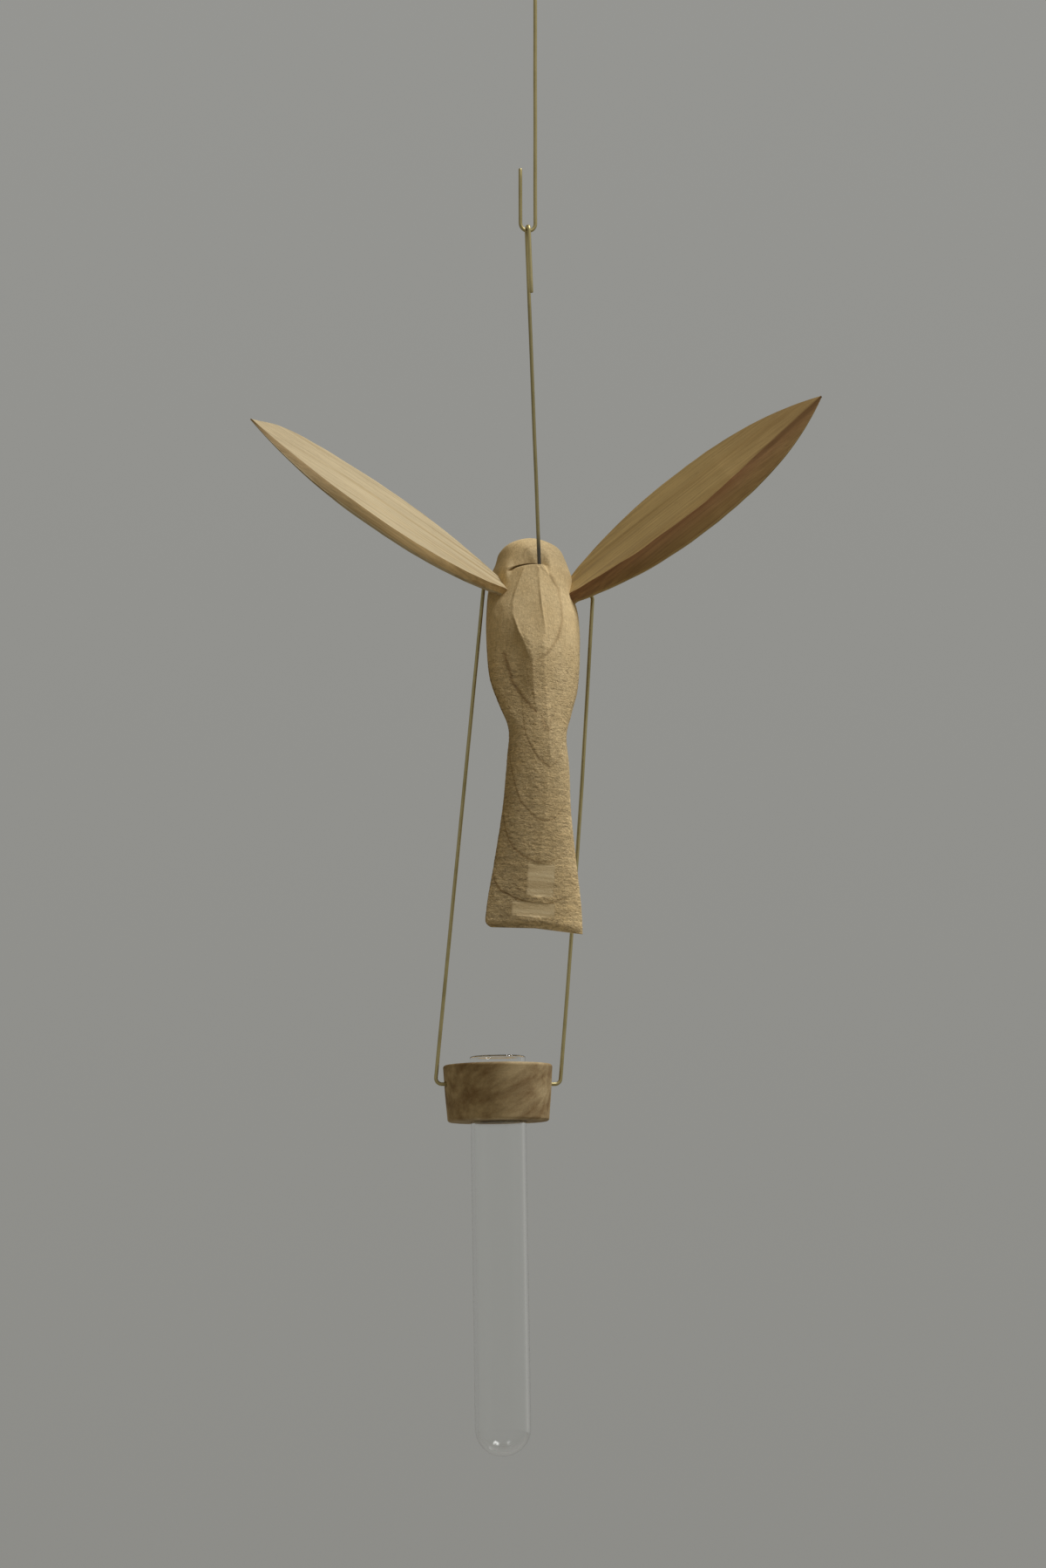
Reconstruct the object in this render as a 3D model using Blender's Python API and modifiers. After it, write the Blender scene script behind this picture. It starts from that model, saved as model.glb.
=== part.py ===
"""A carved wooden bird that hangs on brass wire and carries a glass tube vase below its tail.

Units are metres. +Z is up, +Y is the way the bird faces and +X is its right.
The origin is the point where the hook's upper bend bears on whatever it hangs from.
"""
import math

import bmesh
import bpy
from mathutils import Matrix, Vector

MM = 0.001

# Fits
CLEARANCE = 0.3 * MM
WIRE_D = 1.0 * MM

# Ceiling hook: one wire with a bend at each end, both open to the left
HOOK_DROP = 85.0 * MM
HOOK_BEND_R = 2.1 * MM
HOOK_LOWER_LEG = 17.3 * MM
HOOK_UPPER_LEG = 12.0 * MM

# Hanging wire: a hairpin over the hook, then a straight run into the bird's nape
RETURN_LEG = 17.5 * MM
WIRE_SEAT = 12.0 * MM

# The bird stands on the middle of the bore that takes the bail
BORE_FROM_HOOK = Vector((2.2, 3.5, -98.0)) * MM
BIRD_BANK = math.radians(3.0)

# Carved body, from the tail's end to the beak's tip, seen from the side.
# Each station: back (y, z), breast (y, z), half width and lean to the right, in mm from the bore's middle.
BODY_STATIONS = (
    ((-21.5, -94.2), (-18.4, -93.6), 13.5, 0.0),
    ((-21.7, -87.7), (-17.1, -86.7), 12.9, 0.0),
    ((-22.3, -75.7), (-14.3, -73.7), 11.0, 0.0),
    ((-22.5, -63.7), (-11.7, -60.7), 9.4, 0.0),
    ((-22.1, -51.7), (-9.3, -47.7), 8.5, 0.0),
    ((-21.3, -43.7), (-7.1, -38.7), 7.9, -0.2),
    ((-19.8, -37.2), (-2.8, -31.0), 10.1, -0.4),
    ((-18.2, -30.2), (1.4, -23.0), 12.2, -0.4),
    ((-16.2, -19.7), (5.5, -11.7), 12.9, -0.3),
    ((-13.9, -11.2), (8.5, -4.7), 12.7, -0.1),
    ((-11.1, -3.6), (10.5, 0.1), 12.0, 0.0),
    ((-7.5, 5.6), (12.1, 2.5), 11.0, 0.3),
    ((-4.9, 6.1), (12.4, 3.0), 10.9, 0.5),
    ((-3.5, 10.7), (12.9, 3.5), 10.5, 0.9),
    ((0.0, 13.6), (13.4, 4.0), 10.1, 1.0),
    ((4.5, 14.3), (14.0, 4.5), 9.2, 1.1),
    ((9.0, 13.2), (14.6, 4.9), 7.4, 1.1),
    ((12.5, 10.9), (15.3, 5.2), 5.2, 1.0),
    ((14.7, 8.9), (15.9, 5.5), 2.6, 0.9),
    ((18.0, 7.5), (18.5, 5.8), 1.3, 0.8),
    ((21.0, 6.6), (21.1, 6.2), 0.4, 0.7),
)
# The station at the bore, and the two between which the nape is cut as a step
BORE_STATION = 10
NAPE_BACK = 11
NAPE_HEAD = 12
# Beside the step the head is left full, so that the step dies out towards the shoulders
NAPE_FULLNESS = 0.24
NAPE_FULL_STATIONS = 3
# Right half of the knife-cut section, from the back's ridge to the breast: (across, up)
HALF_SECTION = (
    (0.0, 1.0), (0.42, 0.87), (0.80, 0.54), (1.0, 0.04), (0.90, -0.44), (0.54, -0.84), (0.0, -1.0),
)
# The ridge runs a little right of the middle at the waist
RIDGE_DRIFT = 1.6 * MM
RIDGE_DRIFT_Z = -44.0 * MM
RIDGE_DRIFT_SPAN = 22.0 * MM
# The tail's end is hollowed, so that its corners hang lowest
TAIL_DIP = 1.3 * MM
TAIL_DIP_SPAN = 12.0 * MM
STEPS_PER_STATION = 2

# Wings: pointed leaves set on the shoulders
WING_LENGTH = 87.0 * MM
WING_CHORD = 20.0 * MM
WING_WIDEST = 0.45
WING_TIP_FULLNESS = 2.6
WING_ROOT_FULLNESS = 2.0
WING_AHEAD = 0.445
WING_SWEEP = math.radians(15.2)
WING_RIDGE = 2.4 * MM
WING_BELLY = 0.9 * MM
WING_EDGE = 0.3 * MM
WING_THINS_FROM = 0.61
WING_TIP_SLIM = 0.15
WING_ROOT = Vector((9.9, -3.0, -0.6)) * MM
WING_INSET = 5.0 * MM
WING_SECTIONS = 14
# Side sign, rise above level, leading edge up, share of the chord taken by the trailing bevel
WINGS = {
    "left_wing": (-1, math.radians(24.4), math.radians(47.0), 0.12),
    "right_wing": (1, math.radians(42.4), math.radians(55.0), 0.33),
}
PIN_IN_BODY = 6.0 * MM
PIN_IN_WING = 8.0 * MM

# Bail: one wire through the body, with its feet turned in to the collar
BAIL_DROP = 134.9 * MM
BAIL_SIDE = -9.6 * MM
BAIL_STANDOFF_LEFT = 1.1 * MM
BAIL_STANDOFF_RIGHT = 4.6 * MM
BAIL_FOOT_GAP = 3.0 * MM
BAIL_FOOT_DEPTH = 3.4 * MM
BAIL_BEND_R = 1.6 * MM

# Turned wooden collar; it hangs a little askew, its right side up
COLLAR_BANK = math.radians(-0.9)
COLLAR_WALL_TOP = 6.9 * MM
COLLAR_WALL_BOTTOM = 5.9 * MM
COLLAR_HEIGHT = 15.3 * MM
COLLAR_AXIS_BELOW_TOP = 5.2 * MM
COLLAR_ROUND = 0.7 * MM

# Glass tube
TUBE_D = 15.0 * MM
TUBE_LENGTH = 107.0 * MM
TUBE_WALL = 1.0 * MM
TUBE_RISE = 2.3 * MM

# Fineness of arcs, wires and turned shapes
ARC_STEPS = 8
TURN_STEPS = 40
HOLE_SIDES = 16
WIRE_BEVEL_STEPS = 2
WELD = 0.01 * MM

# Sizes that follow from the ones above
WIRE_R = WIRE_D / 2
HOLE_R = WIRE_R + CLEARANCE
HAIRPIN_R = WIRE_D + CLEARANCE
HOOK_LOW = Vector((0, 0, -HOOK_DROP))
BORE_POS = HOOK_LOW + BORE_FROM_HOOK
BIRD_FRAME = Matrix.Translation(BORE_POS) @ Matrix.Rotation(BIRD_BANK, 4, "Y")
COLLAR_POS = BORE_POS + Vector((BAIL_SIDE, 0, -BAIL_DROP))
COLLAR_FRAME = Matrix.Translation(COLLAR_POS) @ Matrix.Rotation(COLLAR_BANK, 4, "Y")
COLLAR_BORE_R = TUBE_D / 2 + CLEARANCE
COLLAR_AXIS_R = COLLAR_BORE_R + COLLAR_WALL_TOP + (
    COLLAR_WALL_BOTTOM - COLLAR_WALL_TOP) * COLLAR_AXIS_BELOW_TOP / COLLAR_HEIGHT


def start_scene():
    """Clear the scene and make the two collections."""
    for old in list(bpy.data.objects):
        bpy.data.objects.remove(old, do_unlink=True)
    collections = {}
    for name in ("hanging_bird_vase", "cutters"):
        collections[name] = bpy.data.collections.new(name)
        bpy.context.scene.collection.children.link(collections[name])
    return collections["hanging_bird_vase"], collections["cutters"]


def material(name, color, roughness, metallic=0.0, transmission=0.0):
    """Make a Principled material."""
    made = bpy.data.materials.new(name)
    made.use_nodes = True
    shader = made.node_tree.nodes["Principled BSDF"]
    shader.inputs["Base Color"].default_value = (*color, 1.0)
    shader.inputs["Roughness"].default_value = roughness
    shader.inputs["Metallic"].default_value = metallic
    shader.inputs["Transmission Weight"].default_value = transmission
    made.diffuse_color = (*color, 1.0)
    return made


def add_object(name, data, collection, finish=None, parent=None, at=(0, 0, 0)):
    """Put a mesh or curve into the scene as a named object."""
    made = bpy.data.objects.new(name, data)
    made.location = at
    made.parent = parent
    if finish is not None:
        data.materials.append(finish)
    collection.objects.link(made)
    return made


def hide_as_cutter(cutter):
    """Mark an object as a cutting tool and not a piece."""
    cutter.hide_render = True
    cutter.display_type = "WIRE"
    return cutter


def cut(piece, cutter):
    """Take the cutter's shape out of the piece."""
    modifier = piece.modifiers.new("cut_" + cutter.name, "BOOLEAN")
    modifier.operation = "DIFFERENCE"
    modifier.solver = "EXACT"
    modifier.object = cutter


def rod_between(name, start, end, radius, collection, parent=None):
    """Make a cutting rod that runs from start to end."""
    along = end - start
    mesh = bpy.data.meshes.new(name)
    shape = bmesh.new()
    turn = along.to_track_quat("Z", "Y").to_matrix().to_4x4()
    place = Matrix.Translation((start + end) / 2) @ turn
    bmesh.ops.create_cone(shape, cap_ends=True, segments=HOLE_SIDES, radius1=radius, radius2=radius,
                          depth=along.length, matrix=place)
    shape.to_mesh(mesh)
    shape.free()
    return hide_as_cutter(add_object(name, mesh, collection, parent=parent))


def wire(name, points, collection, finish, parent=None, at=(0, 0, 0)):
    """Make a round wire along a run of points."""
    curve = bpy.data.curves.new(name, "CURVE")
    curve.dimensions = "3D"
    curve.bevel_depth = WIRE_R
    curve.bevel_resolution = WIRE_BEVEL_STEPS
    curve.use_fill_caps = True
    spline = curve.splines.new("POLY")
    spline.points.add(len(points) - 1)
    for spot, point in zip(spline.points, points):
        spot.co = (*point, 1.0)
    return add_object(name, curve, collection, finish, parent, at)


def arc(centre, across, up, radius, start, end):
    """Points on an arc; angles run from the across direction towards the up direction."""
    points = []
    for step in range(ARC_STEPS + 1):
        angle = start + (end - start) * step / ARC_STEPS
        points.append(centre + radius * (math.cos(angle) * across + math.sin(angle) * up))
    return points


def rounded(corners, radius):
    """Run through the corners with each inner one bent to the radius."""
    points = [corners[0]]
    for before, corner, after in zip(corners, corners[1:], corners[2:]):
        back = (before - corner).normalized()
        ahead = (after - corner).normalized()
        half = back.angle(ahead) / 2
        middle = (back + ahead).normalized()
        centre = corner + middle * radius / math.sin(half)
        swing = math.pi / 2 - half
        side = (ahead - back).normalized()
        points += arc(centre, side, -middle, radius, math.pi / 2 + swing, math.pi / 2 - swing)
    return points + [corners[-1]]


def loft(name, rings):
    """Join rings of points into one closed skin."""
    mesh = bpy.data.meshes.new(name)
    shape = bmesh.new()
    rows = [[shape.verts.new(point) for point in ring] for ring in rings]
    count = len(rows[0])
    for low, high in zip(rows, rows[1:]):
        for spot in range(count):
            after = (spot + 1) % count
            shape.faces.new((low[spot], low[after], high[after], high[spot]))
    shape.faces.new(reversed(rows[0]))
    shape.faces.new(rows[-1])
    bmesh.ops.recalc_face_normals(shape, faces=shape.faces)
    shape.to_mesh(mesh)
    shape.free()
    return mesh


def turned(name, profile, closed, collection, finish, parent, height=0.0):
    """Turn a profile of (radius, height) about its parent's Z axis."""
    mesh = bpy.data.meshes.new(name)
    last = len(profile) if closed else len(profile) - 1
    edges = [(spot, (spot + 1) % len(profile)) for spot in range(last)]
    mesh.from_pydata([(radius, 0.0, level) for radius, level in profile], edges, [])
    made = add_object(name, mesh, collection, finish, parent, (0, 0, height))
    screw = made.modifiers.new("turn", "SCREW")
    screw.axis = "Z"
    screw.angle = 2 * math.pi
    screw.steps = TURN_STEPS
    screw.render_steps = TURN_STEPS
    screw.use_merge_vertices = True
    screw.merge_threshold = WELD
    screw.use_smooth_shade = True
    return made


def blend(before, start, end, after, share):
    """Smooth value a share of the way from start to end."""
    rise = (end - before) / 2
    leave = (after - start) / 2
    square = share * share
    cube = square * share
    return (start * (2 * cube - 3 * square + 1) + rise * (cube - 2 * square + share)
            + end * (3 * square - 2 * cube) + leave * (cube - square))


def body_sections():
    """Back point, breast point and half width at every section, with the nape kept as a sharp step."""
    stations = [(*back, *breast, width, lean) for back, breast, width, lean in BODY_STATIONS]
    last = len(stations) - 1
    rows = []
    for spot in range(last):
        before = spot if spot in (0, NAPE_BACK, NAPE_HEAD) else spot - 1
        after = spot + 1 if spot + 1 in (last, NAPE_BACK, NAPE_HEAD) else spot + 2
        four = (stations[before], stations[spot], stations[spot + 1], stations[after])
        for step in range(STEPS_PER_STATION):
            rows.append([blend(*values, step / STEPS_PER_STATION) * MM for values in zip(*four)])
    rows.append([value * MM for value in stations[last]])
    return [(Vector((lean, back_y, back_z)), Vector((lean, breast_y, breast_z)), width)
            for back_y, back_z, breast_y, breast_z, width, lean in rows]


def body_rings(grow):
    """Knife-cut rings of the body, grown outwards by the given amount."""
    left_half = [(-across, up) for across, up in reversed(HALF_SECTION[1:-1])]
    outline = list(HALF_SECTION) + left_half
    tail_z = BODY_STATIONS[0][0][1] * MM
    rings = []
    for row, (back, breast, half_width) in enumerate(body_sections()):
        past_nape = row / STEPS_PER_STATION - NAPE_HEAD
        full = NAPE_FULLNESS * max(0.0, 1 - past_nape / NAPE_FULL_STATIONS) if past_nape >= 0 else 0.0
        centre = (back + breast) / 2
        up = (back - breast).normalized()
        half_depth = (back - breast).length / 2 + grow
        drift = RIDGE_DRIFT * math.exp(-((centre.z - RIDGE_DRIFT_Z) / RIDGE_DRIFT_SPAN) ** 2)
        dip = TAIL_DIP * max(0.0, 1 - (centre.z - tail_z) / TAIL_DIP_SPAN)
        ring = []
        for across, rise in outline:
            rise += full * 4 * max(0.0, rise) * (1 - rise)
            point = centre + up * half_depth * rise
            point.x += across * (half_width + grow) + drift * max(0.0, rise) ** 2
            point.z -= dip * across * across
            ring.append(point)
        rings.append(ring)
    first_outward = (rings[0][0] - rings[1][0]).normalized()
    last_outward = (rings[-1][0] - rings[-2][0]).normalized()
    rings[0] = [point + first_outward * grow for point in rings[0]]
    rings[-1] = [point + last_outward * grow for point in rings[-1]]
    return rings


def wing_frame(side, rise, pitch):
    """Matrix with X along the wing, Y towards its leading edge and Z out of its upper face."""
    along = Vector((side * math.cos(rise) * math.cos(WING_SWEEP), -math.sin(WING_SWEEP),
                    math.sin(rise) * math.cos(WING_SWEEP)))
    ahead = Vector((0, 1, 0))
    ahead = (ahead - ahead.dot(along) * along).normalized()
    out = along.cross(ahead) * side
    chord = ahead * math.cos(pitch) + out * math.sin(pitch)
    face = out * math.cos(pitch) - ahead * math.sin(pitch)
    turn = Matrix((along, chord, face)).transposed().to_4x4()
    root = Vector((side * WING_ROOT.x, WING_ROOT.y, WING_ROOT.z))
    return Matrix.Translation(root) @ turn


def wing_rings(bevel):
    """Sections of a wing along its own X axis, from inside the shoulder to the tip."""
    rings = []
    tip_x = WING_LENGTH - WING_EDGE
    for step in range(WING_SECTIONS + 1):
        along = -WING_INSET + (tip_x + WING_INSET) * step / WING_SECTIONS
        share = max(0.0, along) / WING_LENGTH
        reach = (share - WING_WIDEST) / (1 - WING_WIDEST)
        fullness = WING_TIP_FULLNESS if reach > 0 else WING_ROOT_FULLNESS
        chord = max(WING_CHORD * (1 - abs(reach) ** fullness), 2 * WING_EDGE)
        slim = WING_TIP_SLIM + (1 - WING_TIP_SLIM) * min(1.0, (1 - share) / (1 - WING_THINS_FROM))
        front = WING_AHEAD * chord
        tail = front - chord
        ridge = tail + bevel * chord
        edge = WING_EDGE * slim
        rings.append([
            Vector((along, front, edge)),
            Vector((along, ridge, edge + WING_RIDGE * slim)),
            Vector((along, tail, edge)),
            Vector((along, tail, -edge)),
            Vector((along, (front + tail) / 2, -edge - WING_BELLY * slim)),
            Vector((along, front, -edge)),
        ])
    return rings


def make_hook(collection, brass):
    """Ceiling hook: lower bend, shank and upper bend in one wire."""
    across, up = Vector((1, 0, 0)), Vector((0, 0, 1))
    low_centre = HOOK_LOW + up * HOOK_BEND_R
    high_centre = Vector((0, 0, WIRE_R - HOOK_BEND_R))
    points = [HOOK_LOW + Vector((-HOOK_BEND_R, 0, HOOK_LOWER_LEG))]
    points += arc(low_centre, across, up, HOOK_BEND_R, math.pi, 2 * math.pi)
    points += arc(high_centre, across, up, HOOK_BEND_R, 0, math.pi)
    points.append(Vector((-HOOK_BEND_R, 0, WIRE_R - HOOK_UPPER_LEG)))
    wire("ceiling_hook", points, collection, brass)


def make_hanging_wire(collection, cutters, brass, body):
    """Hairpin over the hook, with its long leg let into the step of the nape."""
    ledge = [Vector((0, *BODY_STATIONS[spot][0])) * MM for spot in (NAPE_BACK, NAPE_HEAD)]
    nape = BIRD_FRAME @ ((ledge[0] + ledge[1]) / 2)
    top = HOOK_LOW + Vector((0, HAIRPIN_R, 0))
    along = (nape - top).normalized()
    short_end = HOOK_LOW + Vector((0, -HAIRPIN_R, 0)) + along * RETURN_LEG
    points = [short_end]
    points += arc(HOOK_LOW, Vector((0, 1, 0)), Vector((0, 0, 1)), HAIRPIN_R, math.pi, 0)
    points.append(nape + along * WIRE_SEAT)
    wire("hanging_wire", [point - HOOK_LOW for point in points], collection, brass, at=HOOK_LOW)
    hole = rod_between("nape_hole", nape - along * WIRE_SEAT, nape + along * (WIRE_SEAT + CLEARANCE),
                       HOLE_R, cutters)
    cut(body, hole)


def make_wing(name, parts, cutters, bird, body, seat, wood, brass):
    """One wing, its shoulder pin and the holes for the pin."""
    side, rise, pitch, bevel = WINGS[name]
    frame = wing_frame(side, rise, pitch)
    mesh = loft(name, [[frame @ point for point in ring] for ring in wing_rings(bevel)])
    wing = add_object(name, mesh, parts, wood, parent=bird)
    cut(wing, seat)
    inner, outer = Vector((-PIN_IN_BODY, 0, 0)), Vector((PIN_IN_WING, 0, 0))
    spare = Vector((CLEARANCE, 0, 0))
    hole = rod_between(name + "_pin_hole", frame @ (inner - spare), frame @ (outer + spare),
                       HOLE_R, cutters, bird)
    cut(body, hole)
    cut(wing, hole)
    wire(name + "_pin", [frame @ inner, frame @ outer], parts, brass, parent=bird)


def make_bail(collection, cutters, brass, body, bird):
    """Bail that swings in the body's bore, with feet that carry the collar."""
    half_body = BODY_STATIONS[BORE_STATION][2] * MM
    left_top = BIRD_FRAME @ Vector((-half_body - WIRE_R - BAIL_STANDOFF_LEFT, 0, 0))
    right_top = BIRD_FRAME @ Vector((half_body + WIRE_R + BAIL_STANDOFF_RIGHT, 0, 0))
    foot = Vector((COLLAR_AXIS_R + BAIL_FOOT_GAP, 0, 0))
    toe = Vector((COLLAR_AXIS_R - BAIL_FOOT_DEPTH, 0, 0))
    left_foot = [COLLAR_FRAME @ -toe, COLLAR_FRAME @ -foot]
    right_foot = [COLLAR_FRAME @ foot, COLLAR_FRAME @ toe]
    corners = left_foot + [left_top, right_top] + right_foot
    points = rounded([corner - BORE_POS for corner in corners], BAIL_BEND_R)
    wire("tube_bail", points, collection, brass, at=BORE_POS)
    reach = Vector((2 * half_body, 0, 0))
    cut(body, rod_between("bail_bore", -reach, reach, HOLE_R, cutters, bird))


def make_collar(collection, cutters, hanger, wood):
    """Turned collar with a bore for the tube and a blind hole for each foot of the bail."""
    top = COLLAR_AXIS_BELOW_TOP
    bottom = top - COLLAR_HEIGHT
    nip = COLLAR_ROUND * (1 - math.cos(math.pi / 4))
    outer_top = COLLAR_BORE_R + COLLAR_WALL_TOP
    outer_bottom = COLLAR_BORE_R + COLLAR_WALL_BOTTOM
    profile = [
        (outer_top - COLLAR_ROUND, top),
        (outer_top - nip, top - nip),
        (outer_top, top - COLLAR_ROUND),
        (outer_bottom, bottom + COLLAR_ROUND),
        (outer_bottom - nip, bottom + nip),
        (outer_bottom - COLLAR_ROUND, bottom),
        (COLLAR_BORE_R + COLLAR_ROUND / 2, bottom),
        (COLLAR_BORE_R, bottom + COLLAR_ROUND / 2),
        (COLLAR_BORE_R, top - COLLAR_ROUND / 2),
        (COLLAR_BORE_R + COLLAR_ROUND / 2, top),
    ]
    collar = turned("tube_collar", profile, True, collection, wood, hanger)
    for name, side in (("left_foot_hole", -1), ("right_foot_hole", 1)):
        inner = Vector((side * (COLLAR_AXIS_R - BAIL_FOOT_DEPTH - CLEARANCE), 0, 0))
        outer = Vector((side * (COLLAR_AXIS_R + BAIL_FOOT_GAP), 0, 0))
        cut(collar, rod_between(name, inner, outer, HOLE_R, cutters, hanger))


def make_tube(collection, hanger, glass):
    """Round-bottomed glass tube with a plain rounded rim, pushed up into the collar."""
    outer = TUBE_D / 2
    inner = outer - TUBE_WALL
    low_centre = TUBE_D / 2 - TUBE_LENGTH
    rim = Vector((outer - TUBE_WALL / 2, 0, -TUBE_WALL / 2))
    across, up = Vector((1, 0, 0)), Vector((0, 0, 1))
    bowl = Vector((0, 0, low_centre))
    points = arc(bowl, across, up, inner, -math.pi / 2, 0)
    points += arc(rim, across, up, TUBE_WALL / 2, math.pi, 0)
    points += arc(bowl, across, up, outer, 0, -math.pi / 2)
    profile = [(max(0.0, point.x), point.z) for point in points]
    profile[0] = (0.0, profile[0][1])
    profile[-1] = (0.0, profile[-1][1])
    turned("glass_tube", profile, False, collection, glass, hanger, COLLAR_AXIS_BELOW_TOP + TUBE_RISE)


def main():
    """Build every piece."""
    parts, cutters = start_scene()
    brass = material("brass_wire", (0.46, 0.34, 0.15), 0.35, metallic=1.0)
    body_wood = material("body_wood", (0.42, 0.31, 0.17), 0.75)
    wing_wood = material("wing_wood", (0.50, 0.38, 0.21), 0.65)
    collar_wood = material("collar_wood", (0.26, 0.18, 0.09), 0.75)
    glass = material("tube_glass", (0.95, 0.97, 0.97), 0.03, transmission=1.0)

    bird, hanger = (bpy.data.objects.new(name, None) for name in ("bird", "hanger"))
    bird.matrix_world = BIRD_FRAME
    hanger.matrix_world = COLLAR_FRAME
    for empty in (bird, hanger):
        parts.objects.link(empty)

    body = add_object("bird_body", loft("bird_body", body_rings(0.0)), parts, body_wood, parent=bird)
    seat = add_object("wing_seat", loft("wing_seat", body_rings(CLEARANCE)), cutters, parent=bird)
    hide_as_cutter(seat)
    make_hook(parts, brass)
    make_hanging_wire(parts, cutters, brass, body)
    for name in WINGS:
        make_wing(name, parts, cutters, bird, body, seat, wing_wood, brass)
    make_bail(parts, cutters, brass, body, bird)
    make_collar(parts, cutters, hanger, collar_wood)
    make_tube(parts, hanger, glass)


main()
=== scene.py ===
"""Looks of the hanging bird vase: whittled wood, planed wings, bent brass wire and clear glass.

Places and wire sizes are in metres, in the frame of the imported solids. The body, the wings, the collar and
the tube are shaped in millimetres, each in a frame of its own.
"""

import math
from collections import namedtuple

import bmesh
import bpy
import numpy as np
from mathutils import Matrix, Vector


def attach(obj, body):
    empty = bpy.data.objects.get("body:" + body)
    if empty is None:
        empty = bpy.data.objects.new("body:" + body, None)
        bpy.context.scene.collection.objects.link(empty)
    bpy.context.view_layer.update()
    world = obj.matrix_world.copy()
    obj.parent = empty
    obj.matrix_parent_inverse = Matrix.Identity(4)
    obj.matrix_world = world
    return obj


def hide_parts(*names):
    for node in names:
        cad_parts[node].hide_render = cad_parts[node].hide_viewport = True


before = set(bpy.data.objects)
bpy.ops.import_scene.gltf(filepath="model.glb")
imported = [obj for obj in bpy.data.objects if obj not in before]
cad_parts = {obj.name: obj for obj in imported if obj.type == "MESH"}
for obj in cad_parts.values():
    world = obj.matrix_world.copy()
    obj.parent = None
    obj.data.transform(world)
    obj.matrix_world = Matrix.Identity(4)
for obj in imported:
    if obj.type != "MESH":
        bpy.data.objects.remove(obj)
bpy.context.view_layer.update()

MM = 0.001
TINY = 1e-9
HASH, HASH_SEED, HASH_STIR = np.array((374761393, 668265263, 1440662683)), 97463, 1274126177

# Wire: it wavers a little between true ends, which are filed round (shift along it, share of the radius)
WIRE_R = 0.5 * MM
WIRE_SIDES = 20
WIRE_STEP = 3.0 * MM
WIRE_WAVER = 0.04 * MM
WIRE_WAVE = 14 * MM
WIRE_TRUE_ENDS = (2 * MM, 12 * MM)
WIRE_END = ((0.0, 0.55), (0.16, 0.86), (0.5, 1.0))
HALF_TURN_STEPS = 28
BEND_STEPS = 14
HOLE_R = 0.8 * MM
HOLE_SIDES = 28
HOLE_SPARE = 0.3 * MM

# Places taken from the solids
HOOK_LOW = Vector((0.0, 0.0, -85.0)) * MM
HOOK_BEND_R = 2.1 * MM
HOOK_LOWER_LEG = 17.3 * MM
HOOK_UPPER_LEG = 12.0 * MM
HAIRPIN_R = 1.3 * MM
RETURN_LEG = 17.5 * MM
WIRE_SEAT = 12.0 * MM
BORE = Vector((2.2, 3.5, -183.0)) * MM
BORE_HALF = Vector((30 * MM, 0, 0))
BIRD = Matrix.Translation(BORE) @ Matrix.Rotation(math.radians(3.0), 4, "Y")
NAPE = BIRD @ (Vector((0, -6.2, 5.85)) * MM)
NAPE_HOLE_R = 0.72 * MM
WIRE_ALONG = (NAPE - HOOK_LOW - Vector((0, HAIRPIN_R, 0))).normalized()
COLLAR = Matrix.Translation(Vector((-7.4, 3.5, -317.9)) * MM) @ Matrix.Rotation(math.radians(-0.9), 4, "Y")
COLLAR_GRAIN = COLLAR @ Matrix.Rotation(math.radians(-28.0), 4, "Y")
BAIL_LEFT = BIRD @ Vector((-13.6 * MM, 0, 0))
BAIL_RIGHT = BIRD @ Vector((17.1 * MM, 0, 0))
BAIL_FOOT = Vector((17.36, 0, 0)) * MM
BAIL_TOE = Vector((10.96, 0, 0)) * MM
BAIL_BEND_R = 1.6 * MM
BAIL_BOW = 0.5 * MM

# Body, tail to beak, from the middle of its bore: back (y, z), breast (y, z), half width and lean
STATIONS = np.array((
    (-21.5, -94.2, -18.4, -93.6, 13.5, 0.0),
    (-21.7, -87.7, -17.1, -86.7, 12.9, 0.0),
    (-22.3, -75.7, -14.3, -73.7, 11.0, 0.0),
    (-22.5, -63.7, -11.7, -60.7, 9.4, 0.0),
    (-22.1, -51.7, -9.3, -47.7, 8.5, 0.0),
    (-21.3, -43.7, -7.1, -38.7, 7.9, -0.2),
    (-19.8, -37.2, -2.8, -31.0, 10.1, -0.4),
    (-18.2, -30.2, 1.4, -23.0, 12.2, -0.4),
    (-16.2, -19.7, 5.5, -11.7, 12.9, -0.3),
    (-13.9, -11.2, 8.5, -4.7, 12.7, -0.1),
    (-11.1, -3.6, 10.5, 0.1, 12.0, 0.0),
    (-7.5, 5.6, 12.1, 2.5, 11.0, 0.3),
    (-4.9, 6.1, 12.4, 3.0, 10.9, 0.5),
    (-3.5, 10.7, 12.9, 3.5, 10.5, 0.9),
    (0.0, 13.6, 13.4, 4.0, 10.1, 1.0),
    (4.5, 14.3, 14.0, 4.5, 9.2, 1.1),
    (9.0, 13.2, 14.6, 4.9, 7.4, 1.1),
    (12.5, 10.9, 15.3, 5.2, 5.2, 1.0),
    (14.7, 8.9, 15.9, 5.5, 2.6, 0.9),
    (18.0, 7.5, 18.5, 5.8, 1.3, 0.8),
    (21.0, 6.6, 21.1, 6.2, 0.4, 0.7),
))
HALF_SECTION = (
    (0.0, 1.0), (0.42, 0.87), (0.80, 0.54), (1.0, 0.04), (0.90, -0.44), (0.54, -0.84), (0.0, -1.0))
AROUND_PER_SIDE = 20
RING_GAP = 0.26
RINGS_LEAST = 6
RIDGE_CRISP = 0.9
RIDGE_WIDTH = 0.3
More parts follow.
